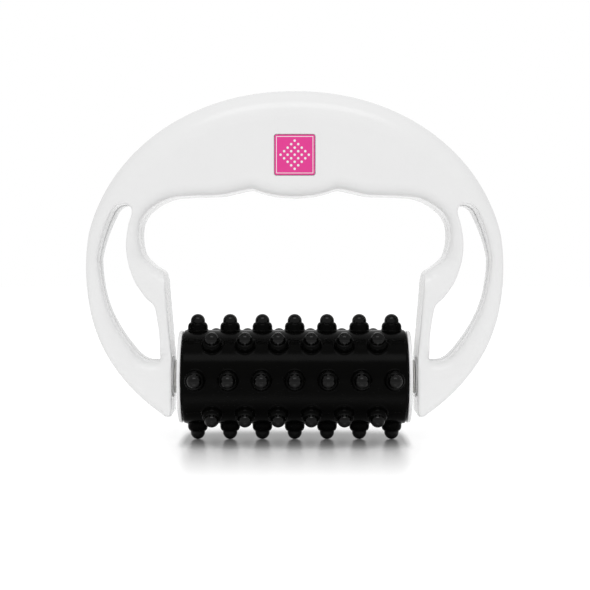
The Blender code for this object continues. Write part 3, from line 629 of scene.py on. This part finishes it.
def ring_x(z):
    """Where the ring crosses a height. Its lower half is the same curve, cut at a share of it and
    pulled so that it ends on the foot."""
    low = np.clip((RING_RISE - z) / (RING_RISE - FOOT_Z), 0, 1) * RING_FOOT_SHARE
    pulled = (1 - ring_half(low)) / (1 - ring_half(RING_FOOT_SHARE))
    above = HALF_WIDTH * ring_half(np.clip((z - RING_RISE) / RING_RADIUS, 0, 1))
    return np.where(z < RING_RISE, HALF_WIDTH - (HALF_WIDTH - FOOT_X) * pulled, above)


def ring_line():
    """The ring's outline from the foot, up the outside, to the middle of the top. Above the widest
    point x and z are the cosine and sine of an angle, to the power 2 / e."""
    low_z = np.linspace(FOOT_Z, RING_RISE, RING_LOW_STEPS, endpoint=False)
    angle = np.linspace(0, np.pi / 2, RING_HIGH_STEPS)
    high_x = HALF_WIDTH * np.abs(np.cos(angle)) ** (2 / RING_EXPONENT)
    high_x[-1] = 0
    high_z = RING_RISE + RING_RADIUS * np.sin(angle) ** (2 / RING_EXPONENT)
    return np.vstack([np.column_stack([ring_x(low_z), low_z]), np.column_stack([high_x, high_z])])


def lengths_along(line):
    return np.concatenate([[0], np.cumsum(np.linalg.norm(np.diff(line, axis=0), axis=1))])


def at_lengths(line, places, along):
    return np.column_stack([np.interp(places, along, line[:, k]) for k in (0, 1)])


def sideways(line, closed=False):
    """Unit vectors to the left of a line's own direction."""
    round_line = np.roll(line, -1, axis=0) - np.roll(line, 1, axis=0)
    along = round_line if closed else np.gradient(line, axis=0)
    return np.column_stack([-along[:, 1], along[:, 0]]) / np.linalg.norm(along, axis=1)[:, None]


def eased(lines, radii):
    """Lines that meet end to end, as one: line, bend, line, and so on. Each bend is a parabola
    that starts and ends a radius away from the meeting."""
    stretches = []
    radii = (0, *radii, 0)
    for i, line in enumerate(lines):
        along = lengths_along(line)
        start, back = (min(radius, along[-1] / 2) for radius in radii[i : i + 2])
        count = max(2, int((along[-1] - back - start) / LINE_STEP) + 1)
        places = np.linspace(start, along[-1] - back, count)
        stretches.append(at_lengths(line, places, along))
        if i + 1 < len(lines):
            after = lengths_along(lines[i + 1])
            far = at_lengths(lines[i + 1], [min(radii[i + 1], after[-1] / 2)], after)
            t = np.linspace(0, 1, BEND_STEPS + 1)[:, None]
            near = stretches[-1][-1]
            stretches.append((1 - t) ** 2 * near + 2 * t * (1 - t) * line[-1] + t**2 * far)
    return stretches


def joined(stretches):
    return np.vstack([stretch[:-1] for stretch in stretches[:-1]] + [stretches[-1]])


def evenly(count):
    return np.linspace(0, 1, count + 1)


def clustered(count):
    """Shares from 0 to 1 that crowd at both ends: half of one less the cosine of half a turn."""
    return (1 - np.cos(np.pi * evenly(count))) / 2


def crowding(count):
    """Shares from 0 to 1 that crowd towards 1."""
    return 1 - (1 - evenly(count)) ** CROWDING_POWER


def resampled(line, cells, spread=evenly):
    """A line in so many cells, by shares of the way along it. A bend counts as extra length."""
    steps = np.diff(line, axis=0)
    length = np.linalg.norm(steps, axis=1)
    heading = np.unwrap(np.arctan2(steps[:, 1], steps[:, 0]))
    weight = np.cumsum(length + TURN_LENGTH * np.abs(np.gradient(heading)))
    weight = np.concatenate([[0], weight])
    return at_lengths(line, spread(cells) * weight[-1], weight)


def cut_at(line, point):
    """Splits a line at its point nearest to the one given."""
    nearest = int(np.linalg.norm(line - point, axis=1)[1:-1].argmin()) + 1
    return line[: nearest + 1], line[nearest:]


def divided(line, stations):
    """The stretches of one side of the arm up to each station, in cells, and the line's rest."""
    stretches = []
    for station, cells in zip(stations, ARM_ALONG):
        stretch, line = cut_at(line, station)
        stretches.append(resampled(stretch, cells))
    return stretches, line


def slot_stretches():
    """The slot's edge in order from the middle of the arm: down to the toe of the slot, the floor,
    up the arc, the roof, and down to the start."""
    heights = SLOT_FLOOR + (SLOT_TOP - SLOT_FLOOR) * np.array(ARC_WIDTHS[0])
    ring = ring_line()
    outer = ring + sideways(ring) * np.interp(ring[:, 1], heights, ARC_WIDTHS[1])[:, None]
    outer = outer[(outer[:, 1] > SLOT_FLOOR) & (outer[:, 1] < SLOT_TOP) & (outer[:, 0] > LEG_FACE)]
    toe_x = LEG_FACE + LEG_WIDTH
    knots = [(toe_x, SLOT_FLOOR), (toe_x, (SLOT_FLOOR + FINGER_Z * ARM_KNOTS[0][1]) / 2)]
    arm = smooth_line(knots + [(across(x), FINGER_Z * z) for x, z in ARM_KNOTS])
    arm = arm[arm[:, 1] < SLOT_TOP]
    heel, roof = (outer[0, 0], SLOT_FLOOR), (outer[-1, 0], SLOT_TOP)
    arm = np.vstack([arm, [(arm[-1, 0], SLOT_TOP)]])[::-1]
    upper, lower = cut_at(arm, ARM_SPLIT)
    arc = np.vstack([heel, outer[1:-1], roof])
    return eased([lower, np.array([arm[-1], heel]), arc, np.array([roof, arm[0]]), upper], SLOT_RADII)


def outlines():
    """The right half's two edges as stretches with the same number of cells on facing sides.

    The first runs from the middle of the finger rests round the opening, down the leg, round the
    toe and up the ring to the middle of the top. The second is the slot's, from the arm's top."""
    lower, toe_bend, floor, heel_bend, outer, bend_1, _, bend_2, upper = slot_stretches()
    arm_side = joined([upper, lower])
    floor_side = joined([toe_bend, floor, heel_bend])
    roof_side = joined([bend_1, bend_2])

    opening = smooth_line([(across(x), FINGER_Z * z) for x, z in OPENING_KNOTS])[::-1]
    leg = np.array([opening[-1], (LEG_FACE, LEAN_Z), (LEG_FACE, FOOT_Z)])
    foot = np.array([(LEG_FACE, FOOT_Z), (FOOT_X, FOOT_Z)])
    chain = eased([opening, leg, foot, ring_line()], [LIP_RADIUS, TOE_RADIUS, TOE_RADIUS])
    inner = joined(chain[:3])
    grip_edge, rest = cut_at(inner, arm_side[0])
    grip_ring, arc_ring = cut_at(chain[6][::-1], outer[-1])
    arc_ring, foot_ring = cut_at(arc_ring, outer[0])
    arm_edge, rest = divided(rest, [*ARM_STATIONS, arm_side[-1] * (LEG_STATION_SHARE, 1)])
    arm_slot, leg_slot = divided(arm_side, SLOT_STATIONS)
    outer_edge = [
        resampled(grip_edge, GRIP_ALONG, crowding),
        joined(arm_edge),
        resampled(rest, FOOT_ALONG),
        resampled(joined(chain[3:6]), ARM_CELLS + ROOF_CELLS + ARC_CELLS),
        resampled(foot_ring[::-1], FOOT_ALONG),
        resampled(arc_ring[::-1], ARC_ALONG),
        resampled(grip_ring, GRIP_ALONG, crowding)[::-1],
    ]
    slot_edge = [
        joined([*arm_slot, resampled(leg_slot, ARM_ALONG[-1])]),
        resampled(floor_side, ROOF_CELLS),
        resampled(outer, ARC_ALONG),
        resampled(roof_side, ROOF_CELLS),
    ]
    return outer_edge, slot_edge


def inset(stretches, distance, closed):
    """The stretches of one edge, moved into the material by a distance."""
    line = joined(stretches)
    if closed:
        moved = line[:-1] + distance * sideways(line[:-1], True)
        moved = np.vstack([moved, moved[:1]])
    else:
        moved = line + distance * sideways(line)
        moved[[0, -1], 0] = 0
    marks = np.cumsum([0] + [len(stretch) - 1 for stretch in stretches])
    return [moved[a : b + 1] for a, b in zip(marks, marks[1:])]


def crossing(start, end, cells):
    return start + clustered(cells)[:, None] * (end - start)


def patch(near, far, start, end, along):
    """A Coons patch: the surface between its near and far edges, plus the one between its start
    and its end, less the bilinear one of its corners."""
    u = along[:, None, None]
    v = clustered(len(start) - 1)[None, :, None]
    ruled = (1 - v) * near[:, None] + v * far[:, None] + (1 - u) * start[None] + u * end[None]
    corners = (1 - u) * ((1 - v) * near[0] + v * far[0]) + u * ((1 - v) * near[-1] + v * far[-1])
    return ruled - corners


def face_patches(outer_edge, slot_edge):
    """The four patches of the right half's face: grip, arm, arc and foot, as (x, z) points."""
    grip_edge, arm_edge, leg_edge, toe, foot_ring, arc_ring, grip_ring = outer_edge
    arm_slot, floor, arc_slot, roof = slot_edge
    arm_top = crossing(arm_edge[0], arm_slot[0], ARM_CELLS)
    arm_foot = crossing(arm_edge[-1], arm_slot[-1], ARM_CELLS)
    arc_top = crossing(arc_slot[-1], arc_ring[-1], ARC_CELLS)
    arc_foot = crossing(arc_slot[0], arc_ring[0], ARC_CELLS)
    middle = crossing(grip_edge[0], grip_ring[-1], ARM_CELLS + ROOF_CELLS + ARC_CELLS)
    grip_end = joined([arm_top, roof[::-1], arc_top])
    foot_top = joined([arm_foot, floor, arc_foot])
    return [
        patch(grip_edge, grip_ring[::-1], middle, grip_end, crowding(GRIP_ALONG)),
        patch(arm_edge, arm_slot, arm_top, arm_foot, evenly(sum(ARM_ALONG))),
        patch(arc_slot[::-1], arc_ring[::-1], arc_top, arc_foot, evenly(ARC_ALONG)),
        patch(leg_edge, foot_ring[::-1], foot_top, toe, evenly(FOOT_ALONG)),
    ]


def smooth_step(low, high, value):
    share = np.clip((value - low) / (high - low), 0, 1)
    return share * share * (3 - 2 * share)


def full_depth(x, z):
    """Half the grip's depth away from its edges: deepest in the grip, thinned along the arcs."""
    deepening = smooth_step(FINGER_Z * DEEPENING[0], FINGER_Z * DEEPENING[1], z)
    outward = x / np.maximum(ring_x(z), LINE_STEP)
    slot_share = np.clip((z - SLOT_FLOOR) / (SLOT_TOP - SLOT_FLOOR), 0, 1)
    thinning = np.sin(np.pi * slot_share) ** 2 * smooth_step(*ARC_THIN_SHARES, outward)
    base = LEG_HALF + (GRIP_HALF - LEG_HALF) * deepening
    return base - (base - ARC_HALF) * thinning


def band_widths(outer_edge, slot_edge):
    """The ring's, the opening's and the slot's edges, each with the width of the rounded band
    along it at every point."""

    def banded(stretches, low, high, bands):
        line = joined(stretches)
        return line, np.interp((line[:, 1] - low) / (high - low), *bands)

    arm = slot_edge[0][:-1]
    arc, arc_width = banded(slot_edge[1:], SLOT_FLOOR, SLOT_TOP, SLOT_BANDS)
    return [
        banded(outer_edge[4:], FOOT_Z, RING_RISE + RING_RADIUS, RING_BANDS),
        banded(outer_edge[:4], 0, FINGER_Z, OPENING_BANDS),
        (np.vstack([arm, arc]), np.append(np.full(len(arm), ARM_SLOT_BAND), arc_width)),
    ]


def fall(points, line, widths):
    """How far the face falls back beside one edge: a quarter of an ellipse over the band's width,
    the deepest that any piece of the edge asks for."""
    start, step = line[:-1], np.diff(line, axis=0)
    width = (widths[:-1] + widths[1:]) / 2
    deepest = []
    for some in np.array_split(points, len(points) // POINTS_AT_ONCE + 1):
        offset = some[:, None] - start[None]
        share = np.clip((offset * step).sum(axis=2) / (step**2).sum(axis=1), 0, 1)
        away = np.linalg.norm(offset - share[:, :, None] * step, axis=2)
        inward = 1 - np.minimum(away / width, 1)
        deepest.append((BAND_FALL * width * (1 - np.sqrt(1 - inward**2))).max(axis=1))
    return np.concatenate(deepest)


def face_depth(points, edges):
    """Half the grip's depth at each point: the full depth less the three edges' falls, added as a
    power mean so that a crest between near edges stays round."""
    flat = points.reshape(-1, 2)
    falls = sum(fall(flat, line, widths) ** BAND_BLEND for line, widths in edges) ** (1 / BAND_BLEND)
    return (full_depth(flat[:, 0], flat[:, 1]) - falls).reshape(points.shape[:-1])


def wall_part(rim, depth, foot):
    """The wall from an edge of the face back to the bevel at the parting plane: rows of the rim's
    points at shares of its depth, and the bevel's foot."""
    low = PARTING + PARTING_BEVEL
    levels = [depth + share * (low - depth) for share in (0, *WALL_SHARES, 1)]
    rows = [np.insert(rim, 1, y, axis=1) for y in levels]
    return sheet_part(np.stack([*rows, np.insert(foot, 1, PARTING, axis=1)]))


def grip_half_parts():
    """Half of the grip as a closed body that faces +Y, and its edges with their bands."""
    outer_edge, slot_edge = outlines()
    outer_foot = inset(outer_edge, PARTING_BEVEL, False)
    slot_foot = inset(slot_edge, PARTING_BEVEL, True)
    edges = band_widths(outer_edge, slot_edge)
    parts = []
    for points in face_patches(outer_edge, slot_edge):
        parts.append(sheet_part(np.insert(points, 1, face_depth(points, edges), axis=2)))
    for points in face_patches(outer_foot, slot_foot):
        parts.append(sheet_part(np.insert(points, 1, PARTING, axis=2)))
    for rim, foot in ((outer_edge, outer_foot), (slot_edge, slot_foot)):
        rim = joined(rim)
        parts.append(wall_part(rim, face_depth(rim, edges), joined(foot)))
    return mirrored_parts(parts), edges


def seat_part(facing):
    """Half of the raised seat round the axle: half discs along x, with an eased rim and poles at
    both ends. A half disc is the circle's points with y held off the parting plane."""
    angles = np.radians(np.linspace(-90, 90, HOLE_STEPS // 2 + 1))
    angles = np.append(angles, angles[0])
    x = np.array([SEAT_START, SEAT_START + SEAT_EDGE, SEAT_END])[:, None]
    radius = np.array([SEAT_RADIUS - SEAT_EDGE, SEAT_RADIUS, SEAT_RADIUS])[:, None]
    y = np.maximum(radius * np.cos(angles), PARTING + PARTING_BEVEL / 2)
    rings = np.stack([x + 0 * angles, facing * y, radius * np.sin(angles)], axis=2)
    pole = np.full((1, len(angles), 3), (0, facing * SEAT_RADIUS / 2, 0))
    return sheet_part(np.concatenate([pole + (SEAT_START, 0, 0), rings, pole + (SEAT_END, 0, 0)]))


def screw_place(name):
    """Where a screw's middle line crosses the parting plane, as (x, z) in the axle's frame."""
    low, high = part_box(name)
    return (low.x + high.x) / 2, (low.z + high.z) / 2 - AXLE_HEIGHT


def hole_parts(edges):
    """What is hollow in both halves: the axle's bores with the clips' pockets, and the screws'
    stepped holes about y, with a chamfer at the rear face."""
    bore = [
        (AXLE_BORE_START, 0), (AXLE_BORE_START, AXLE_BORE), (CLIP_POCKET_START, AXLE_BORE),
        (CLIP_POCKET_START, CLIP_POCKET), (CLIP_POCKET_END, CLIP_POCKET), (CLIP_POCKET_END, 0),
    ]
    parts = mirrored_parts([lathe(bore, HOLE_STEPS)])
    for name in SCREWS:
        x, z = screw_place(name)
        face = float(face_depth(np.array([[abs(x), z]]), edges)[0])
        mouth, wide = face + CHAMFER_OVERRUN, HEAD_BORE + HEAD_CHAMFER + CHAMFER_OVERRUN
        profile = [
            (SCREW_HOLE_END, 0), (SCREW_HOLE_END, SCREW_BORE), (HEAD_BORE_START, SCREW_BORE),
            (HEAD_BORE_START, HEAD_BORE), (face - HEAD_CHAMFER, HEAD_BORE), (mouth, wide), (mouth, 0),
        ]
        points, quads = lathe(profile, HOLE_STEPS)
        parts.append((points[:, [1, 0, 2]] + (x, 0, z), quads))
    return parts


def rounded_square(half, corner):
    """A closed line of (x, z): a square about zero with quarter circles for corners."""
    inner = half - corner
    middles = ((inner, inner), (-inner, inner), (-inner, -inner), (inner, -inner))
    arcs = [
        round_corner(middle, corner, 90 * k, 90 * k + 90, CORNER_STEPS)
        for k, middle in enumerate(middles)
    ]
    return np.vstack([*arcs, arcs[0][:1]])


def plate_part(rows):
    """A square plate at the label's place from rows of (half a side, corner radius, y), with a
    pole in the middle of its first and its last row."""
    rings = [np.insert(rounded_square(half, corner), 1, y, axis=1) for half, corner, y in rows]
    poles = [np.full_like(rings[0], (0, rows[k][2], 0)) for k in (0, -1)]
    return sheet_part(np.stack([poles[0], *rings, poles[1]]) + (0, 0, LABEL_RISE))


def combined(mesh, other, operation):
    """The mesh with the other one joined to it or cut out of it."""
    body, tool = linked(mesh.name, mesh), linked(other.name, other)
    change = body.modifiers.new("change", "BOOLEAN")
    change.solver = "EXACT"
    change.object, change.operation = tool, operation
    changed = body.evaluated_get(bpy.context.evaluated_depsgraph_get())
    made = bpy.data.meshes.new_from_object(changed)
    for each in (body, tool):
        bpy.data.objects.remove(each)
    return made


half_parts, edges = grip_half_parts()
recess = plate_part([(RECESS_HALF, RECESS_CORNER, y) for y in (RECESS_FLOOR, RECESS_MOUTH)])
for facing, name in ((-1, "front"), (1, "rear")):
    facing_parts = [(points * (1, facing, 1), quads) for points, quads in half_parts]
    shell = closed_mesh(f"grip_{name}", facing_parts)
    shell = combined(shell, closed_mesh("seats", mirrored_parts([seat_part(facing)])), "UNION")
    hollows = hole_parts(edges) + ([recess] if name == "front" else [])
    shell = combined(shell, closed_mesh("hollows", hollows), "DIFFERENCE")
    piece(f"grip_{name}", shell, white_plastic, "handle", "handle_white", f"handle_{name}_shell")


# Screws: six pan-head self-tapping screws with cross recesses, cold-formed from zinc-plated steel.
# They stand deep in the counterbores of the rear half and bite into the front half.

SCREW_SEAT = 0.0050
SCREW_TIP = -0.0096
THREAD_CREST = 0.0015
THREAD_ROOT = 0.00115
THREAD_PITCH = 0.0011
THREAD_POINT = 0.0024
THREAD_NECK = 0.0010
THREAD_ROWS = 92
THREAD_SHARPNESS = 3
POINT_SHARE = 0.35
HEAD_RADIUS = 0.0028
HEAD_SIDE = 0.0009
HEAD_HEIGHT = 0.0020
HEAD_LAND = 0.00195
HEAD_EDGE = 0.00008
HEAD_DOME_STEPS = 6
CROSS_REACH = 0.0016
CROSS_SLIMNESS = 0.25
CROSS_LIP = 0.00005
CROSS_FLOOR = 0.0009
CROSS_FLOOR_SHARE = 0.66
CROSS_STEPS = 3
CROSS_MARGIN = 1.001
SCREW_TURNS = (20, 75, 48, 12, 63, 34)


def cross_angles():
    """Angles all the way round that meet every corner of the cross recess."""
    bends = (0, np.arctan(CROSS_SLIMNESS), np.pi / 4)
    sides = [np.linspace(*ends, CROSS_STEPS, endpoint=False) for ends in zip(bends, bends[1:])]
    octant = np.concatenate(sides)
    quarter = np.concatenate([octant, [np.pi / 4], np.pi / 2 - octant[:0:-1]])
    return np.append(np.concatenate([quarter + k * np.pi / 2 for k in range(4)]), 2 * np.pi)


def cross_radius(angles, reach):
    """The outline of two bars that cross, as a distance from the middle: the reach over the cosine
    at the bars' ends, and half a bar's width over the sine along their sides."""
    folded = np.abs((angles + np.pi / 4) % (np.pi / 2) - np.pi / 4)
    side = reach * CROSS_SLIMNESS / np.maximum(np.sin(folded), CROSS_SLIMNESS / 2)
    return np.where(np.tan(folded) < CROSS_SLIMNESS * CROSS_MARGIN, reach / np.cos(folded), side)


def screw_part(name, turn):
    """A screw about its own axis: rings at heights along it. On the thread a ring's radius rises
    from the root to the crest with the height in turns less the angle in turns, as a ridge that
    fades out at the point and at the neck. The head's last rings take the cross recess's outline."""
    angles = cross_angles()
    height = np.linspace(SCREW_TIP - SCREW_SEAT, 0, THREAD_ROWS)[:, None]
    ridge = np.abs((height / THREAD_PITCH - angles / (2 * np.pi)) % 1 - 0.5)
    from_tip = height - height[0]
    full = np.clip(from_tip / THREAD_POINT, 0, 1) * np.clip(-height / THREAD_NECK, 0, 1)
    root = THREAD_ROOT * np.clip(POINT_SHARE + (1 - POINT_SHARE) * from_tip / THREAD_POINT, 0, 1)
    thread = root + (THREAD_CREST - THREAD_ROOT) * full * np.clip(1 - THREAD_SHARPNESS * ridge, 0, 1)
    dome = np.radians(np.linspace(0, 90, HEAD_DOME_STEPS + 1))
    dome_level = HEAD_SIDE + (HEAD_HEIGHT - HEAD_SIDE) * np.sin(dome)
    dome_radius = HEAD_LAND + (HEAD_RADIUS - HEAD_LAND) * np.cos(dome)
    head = np.array([HEAD_RADIUS - HEAD_EDGE, HEAD_RADIUS, *dome_radius])[:, None]
    levels = [HEAD_HEIGHT, HEAD_HEIGHT - CROSS_LIP, CROSS_FLOOR, CROSS_FLOOR - CROSS_LIP]
    reaches = (CROSS_REACH + CROSS_LIP, CROSS_REACH, CROSS_REACH * CROSS_FLOOR_SHARE, 0)
    cross = [cross_radius(angles, reach) for reach in reaches]
    radius = np.vstack([0 * angles[None], thread, head + 0 * angles, *cross])
    along = np.concatenate([height[:1, 0], height[:, 0], [0, HEAD_EDGE], dome_level, levels])
    x, z = screw_place(name)
    spun = angles + math.radians(turn)
    y = SCREW_SEAT + along[:, None] + 0 * angles
    return sheet_part(np.stack([x + radius * np.cos(spun), y, z + radius * np.sin(spun)], axis=2))


screw_steel = plated_steel("screw_steel", STEEL, (1, 1, 1))
for name, turn in zip(SCREWS, SCREW_TURNS):
    screw = closed_mesh(f"pan_head_{name}", [screw_part(name, turn)])
    piece(f"pan_head_{name}", screw, screw_steel, "handle", "steel", name)


# Label: a small square plate of pink plastic, screen-printed in white with a thin border and a
# diamond of dots. It is stuck in a shallow recess on the grip's front and stands a little proud.

LABEL_HALF = 0.0085
LABEL_CORNER = 0.0008
LABEL_BACK = -0.0134
LABEL_FRONT = -0.0142
LABEL_EDGE = 0.00015
LABEL_EDGE_STEPS = 4
LABEL_GRAIN = 0.0002
LABEL_RELIEF = 0.000015
LABEL_PATCH = 0.002
LABEL_ROUGHNESS = (0.26, 0.34)
PINK = (0.80, 0.032, 0.29)
PINK_CLOUD = 0.006
PINK_SHADE = 0.93
INK = (0.86, 0.83, 0.84)
DOT_SPACING = 0.0021
DOT_RADIUS = 0.00052
DOTS_ACROSS = 5
BORDER_PLACE = 0.0077
BORDER_HALF = 0.00014
INK_SOFTNESS = 0.00004
INK_ROUGHER = 0.08
INK_HEIGHT = 0.6


def label_rows():
    """The plate from its back to its front, whose edge is a quarter circle."""
    middle = (LABEL_HALF - LABEL_EDGE, -LABEL_FRONT - LABEL_EDGE)
    edge = round_corner(middle, LABEL_EDGE, 0, 90, LABEL_EDGE_STEPS)
    back = [(LABEL_HALF - LABEL_EDGE / 2, -LABEL_BACK), (LABEL_HALF, -LABEL_BACK + LABEL_EDGE / 2)]
    return [(half, LABEL_CORNER - (LABEL_HALF - half), -y) for half, y in (*back, *edge)]


def printed_plastic(name, colour, ink):
    """Satin plastic with a print. The dots stand on a lattice turned by an eighth of a turn, each
    where the distance to the nearest crossing is under the dot's radius."""
    made = Finish(name, colour, sum(LABEL_ROUGHNESS) / 2)

    def inked(away, reach):
        """1 within the reach and 0 beyond it, with a soft edge."""
        return made.between(away, 1, 0, reach - INK_SOFTNESS, reach + INK_SOFTNESS)

    x, _, z = made.axes()
    z = z - (AXLE_HEIGHT + LABEL_RISE)
    step = 1 / (DOT_SPACING * math.sqrt(2))
    one, other = (x + z) * step, (x - z) * step
    near_one, near_other = (made.maths("FRACT", each + 0.5) - 0.5 for each in (one, other))
    off_dot = made.maths("SQRT", near_one * near_one + near_other * near_other) * DOT_SPACING
    inside = made.maths("LESS_THAN", made.maths("MAXIMUM", abs(one), abs(other)), DOTS_ACROSS / 2)
    off_border = abs(made.maths("MAXIMUM", abs(x), abs(z)) - BORDER_PLACE)
    dots, border = inked(off_dot, DOT_RADIUS) * inside, inked(off_border, BORDER_HALF)
    print_share = made.maths("MAXIMUM", dots, border)
    roughness = made.between(made.noise(LABEL_PATCH, 4), *LABEL_ROUGHNESS)
    made.feed(made.shader, {
        "Base Color": made.tint(print_share, made.clouded(colour, PINK_CLOUD, PINK_SHADE), ink),
        "Roughness": roughness + print_share * INK_ROUGHER,
    })
    made.bump(made.noise(LABEL_GRAIN, 3) * (1 - INK_HEIGHT) + print_share * INK_HEIGHT, LABEL_RELIEF)
    return made.material


label_pink = printed_plastic("label_pink", PINK, INK)
label = closed_mesh("label_plate", [plate_part(label_rows())])
piece("label_plate", label, label_pink, "handle", "label_pink", "grip_label")


# Studio: a white floor in a white room, with a large soft lamp above the front, a wide one overhead
# and a faint light that comes back up from the table. The floor mirrors the foot of the roller a
# little and keeps its shadow, and where the roller stands on it shade is painted into its colour.

LENS = 84.2
CAMERA_PLACE = (0.00013, -0.596, 0.0788)
CAMERA_SHIFT = -0.0653
ROOM_LIGHT = 0.63
SOFTBOX_ANGLE = math.radians(50)
SOFTBOX_DISTANCE = 1.0
SOFTBOX_AIM = 0.08
SOFTBOX_SIZE = (0.70, 0.30)
SOFTBOX_WATTS = 3.0
TABLE_LIGHT_PLACE = (0, 0, 0.001)
TABLE_LIGHT_SIZE = (0.60, 0.50)
TABLE_LIGHT_WATTS = 0.14
TOP_LIGHT_PLACE = (0, -0.1, 1.1)
TOP_LIGHT_SIZE = (1.2, 0.9)
TOP_LIGHT_WATTS = 0.6
FLOOR_RADIUS = 3.0
FLOOR_COLOUR = (0.94, 0.94, 0.94)
FLOOR_ROUGHNESS = 0.9
FLOOR_STEPS = 96
FLOOR_GLOW = 0.48
MIRROR_SHARE = 0.85
MIRROR_START = -0.01
MIRROR_REACH = 0.150
# Painted shade under the roller: its reach, its range of open share, its darkest level and where it
# ends along x.
CONTACT_REACH = 0.030
CONTACT_RANGE = (0.40, 0.92)
PAINTED_SHADE_DEPTH = 0.44
CONTACT_ENDS = (0.0465, 0.0500)


def seen_directly(nodes):
    """1 for what the camera sees itself, in a mirror or through glass, and 0 for light on pieces."""
    kinds = ("Is Camera Ray", "Is Glossy Ray", "Is Transmission Ray")
    seen, mirrored, through = (nodes.node("ShaderNodeLightPath", output=kind) for kind in kinds)
    return nodes.maths("MINIMUM", seen + mirrored + through, 1.0)


def floor_finish():
    """Pale matt floor that looks white where no shadow falls. Between the roller's ends shade is
    painted into its colour, its glow and its mirror: darker the less of the room is open above it.
    It mirrors, less and less towards the front."""
    made = Finish("floor_white", FLOOR_COLOUR, FLOOR_ROUGHNESS, Specular_IOR_Level=0.0)
    x, y, _ = made.axes()
    # Painted shade: the floor's colour, its glow and its mirror's colour are darkened by how little
    # of the room is open above each point.
    sockets = {"Distance": CONTACT_REACH}
    opened = made.node("ShaderNodeAmbientOcclusion", {"samples": 8}, sockets, output=1)
    deepest = made.between(abs(x), PAINTED_SHADE_DEPTH, 1, *CONTACT_ENDS)
    shade = made.between(opened, deepest, 1, *CONTACT_RANGE, shape="SMOOTHSTEP")
    made.feed(made.shader, {"Base Color": made.tint(shade, (0, 0, 0), FLOOR_COLOUR)})
    matt = Signal(made, made.shader.outputs[0])
    strength = seen_directly(made) * FLOOR_GLOW * shade
    glow = made.node("ShaderNodeEmission", {}, {"Strength": strength})
    lit = made.node("ShaderNodeAddShader", {}, {0: matt, 1: glow})
    mirror_painted_shade = made.tint(shade, (0, 0, 0), (1, 1, 1))
    mirror = made.node("ShaderNodeBsdfAnisotropic", {}, {"Color": mirror_painted_shade, "Roughness": 0.28})
    fade = made.between(abs(y), MIRROR_SHARE, 0, MIRROR_START, MIRROR_REACH)
    mixed = made.node("ShaderNodeMixShader", {}, {0: fade, 1: lit, 2: mirror})
    made.feed(made.tree.nodes["Material Output"], {"Surface": mixed})
    return made.material


def lamp(name, size, watts, place, tilt=0):
    """A rectangle of light that shines down, or is turned about X by an angle."""
    light = bpy.data.lights.new(name, "AREA")
    light.shape = "RECTANGLE"
    light.size, light.size_y = size
    light.energy = watts
    made = linked(name, light)
    made.location = place
    made.rotation_euler = (tilt, 0, 0)
    return made


floor_mesh = bpy.data.meshes.new("floor")
around = np.linspace(0, 2 * np.pi, FLOOR_STEPS, endpoint=False)
rim = FLOOR_RADIUS * np.column_stack([np.cos(around), np.sin(around), np.zeros(FLOOR_STEPS)])
floor_mesh.from_pydata(rim.tolist(), [], [list(range(FLOOR_STEPS))])
floor_mesh.materials.append(floor_finish())
floor = linked("floor", floor_mesh)

world = bpy.data.worlds.new("white_room")
bpy.context.scene.world = world
room = Nodes(world)
room_strength = room.between(seen_directly(room), ROOM_LIGHT, 1.0)
room.feed(room.tree.nodes["Background"], {"Color": (1, 1, 1, 1), "Strength": room_strength})

ahead = SOFTBOX_DISTANCE * math.cos(SOFTBOX_ANGLE)
above = SOFTBOX_AIM + SOFTBOX_DISTANCE * math.sin(SOFTBOX_ANGLE)
lamp("softbox", SOFTBOX_SIZE, SOFTBOX_WATTS, (0, -ahead, above), math.pi / 2 - SOFTBOX_ANGLE)
table_light = lamp("table_light", TABLE_LIGHT_SIZE, TABLE_LIGHT_WATTS, TABLE_LIGHT_PLACE, math.pi)
table_light.visible_camera = False
lamp("top_light", TOP_LIGHT_SIZE, TOP_LIGHT_WATTS, TOP_LIGHT_PLACE)

camera = linked("camera", bpy.data.cameras.new("camera"))
camera.data.lens = LENS
camera.data.sensor_width = 36
camera.data.clip_start = 0.01
camera.data.shift_y = CAMERA_SHIFT
camera.location = CAMERA_PLACE
camera.rotation_euler = (math.pi / 2, 0, 0)
bpy.context.scene.camera = camera
bpy.context.scene.view_settings.view_transform = "Standard"
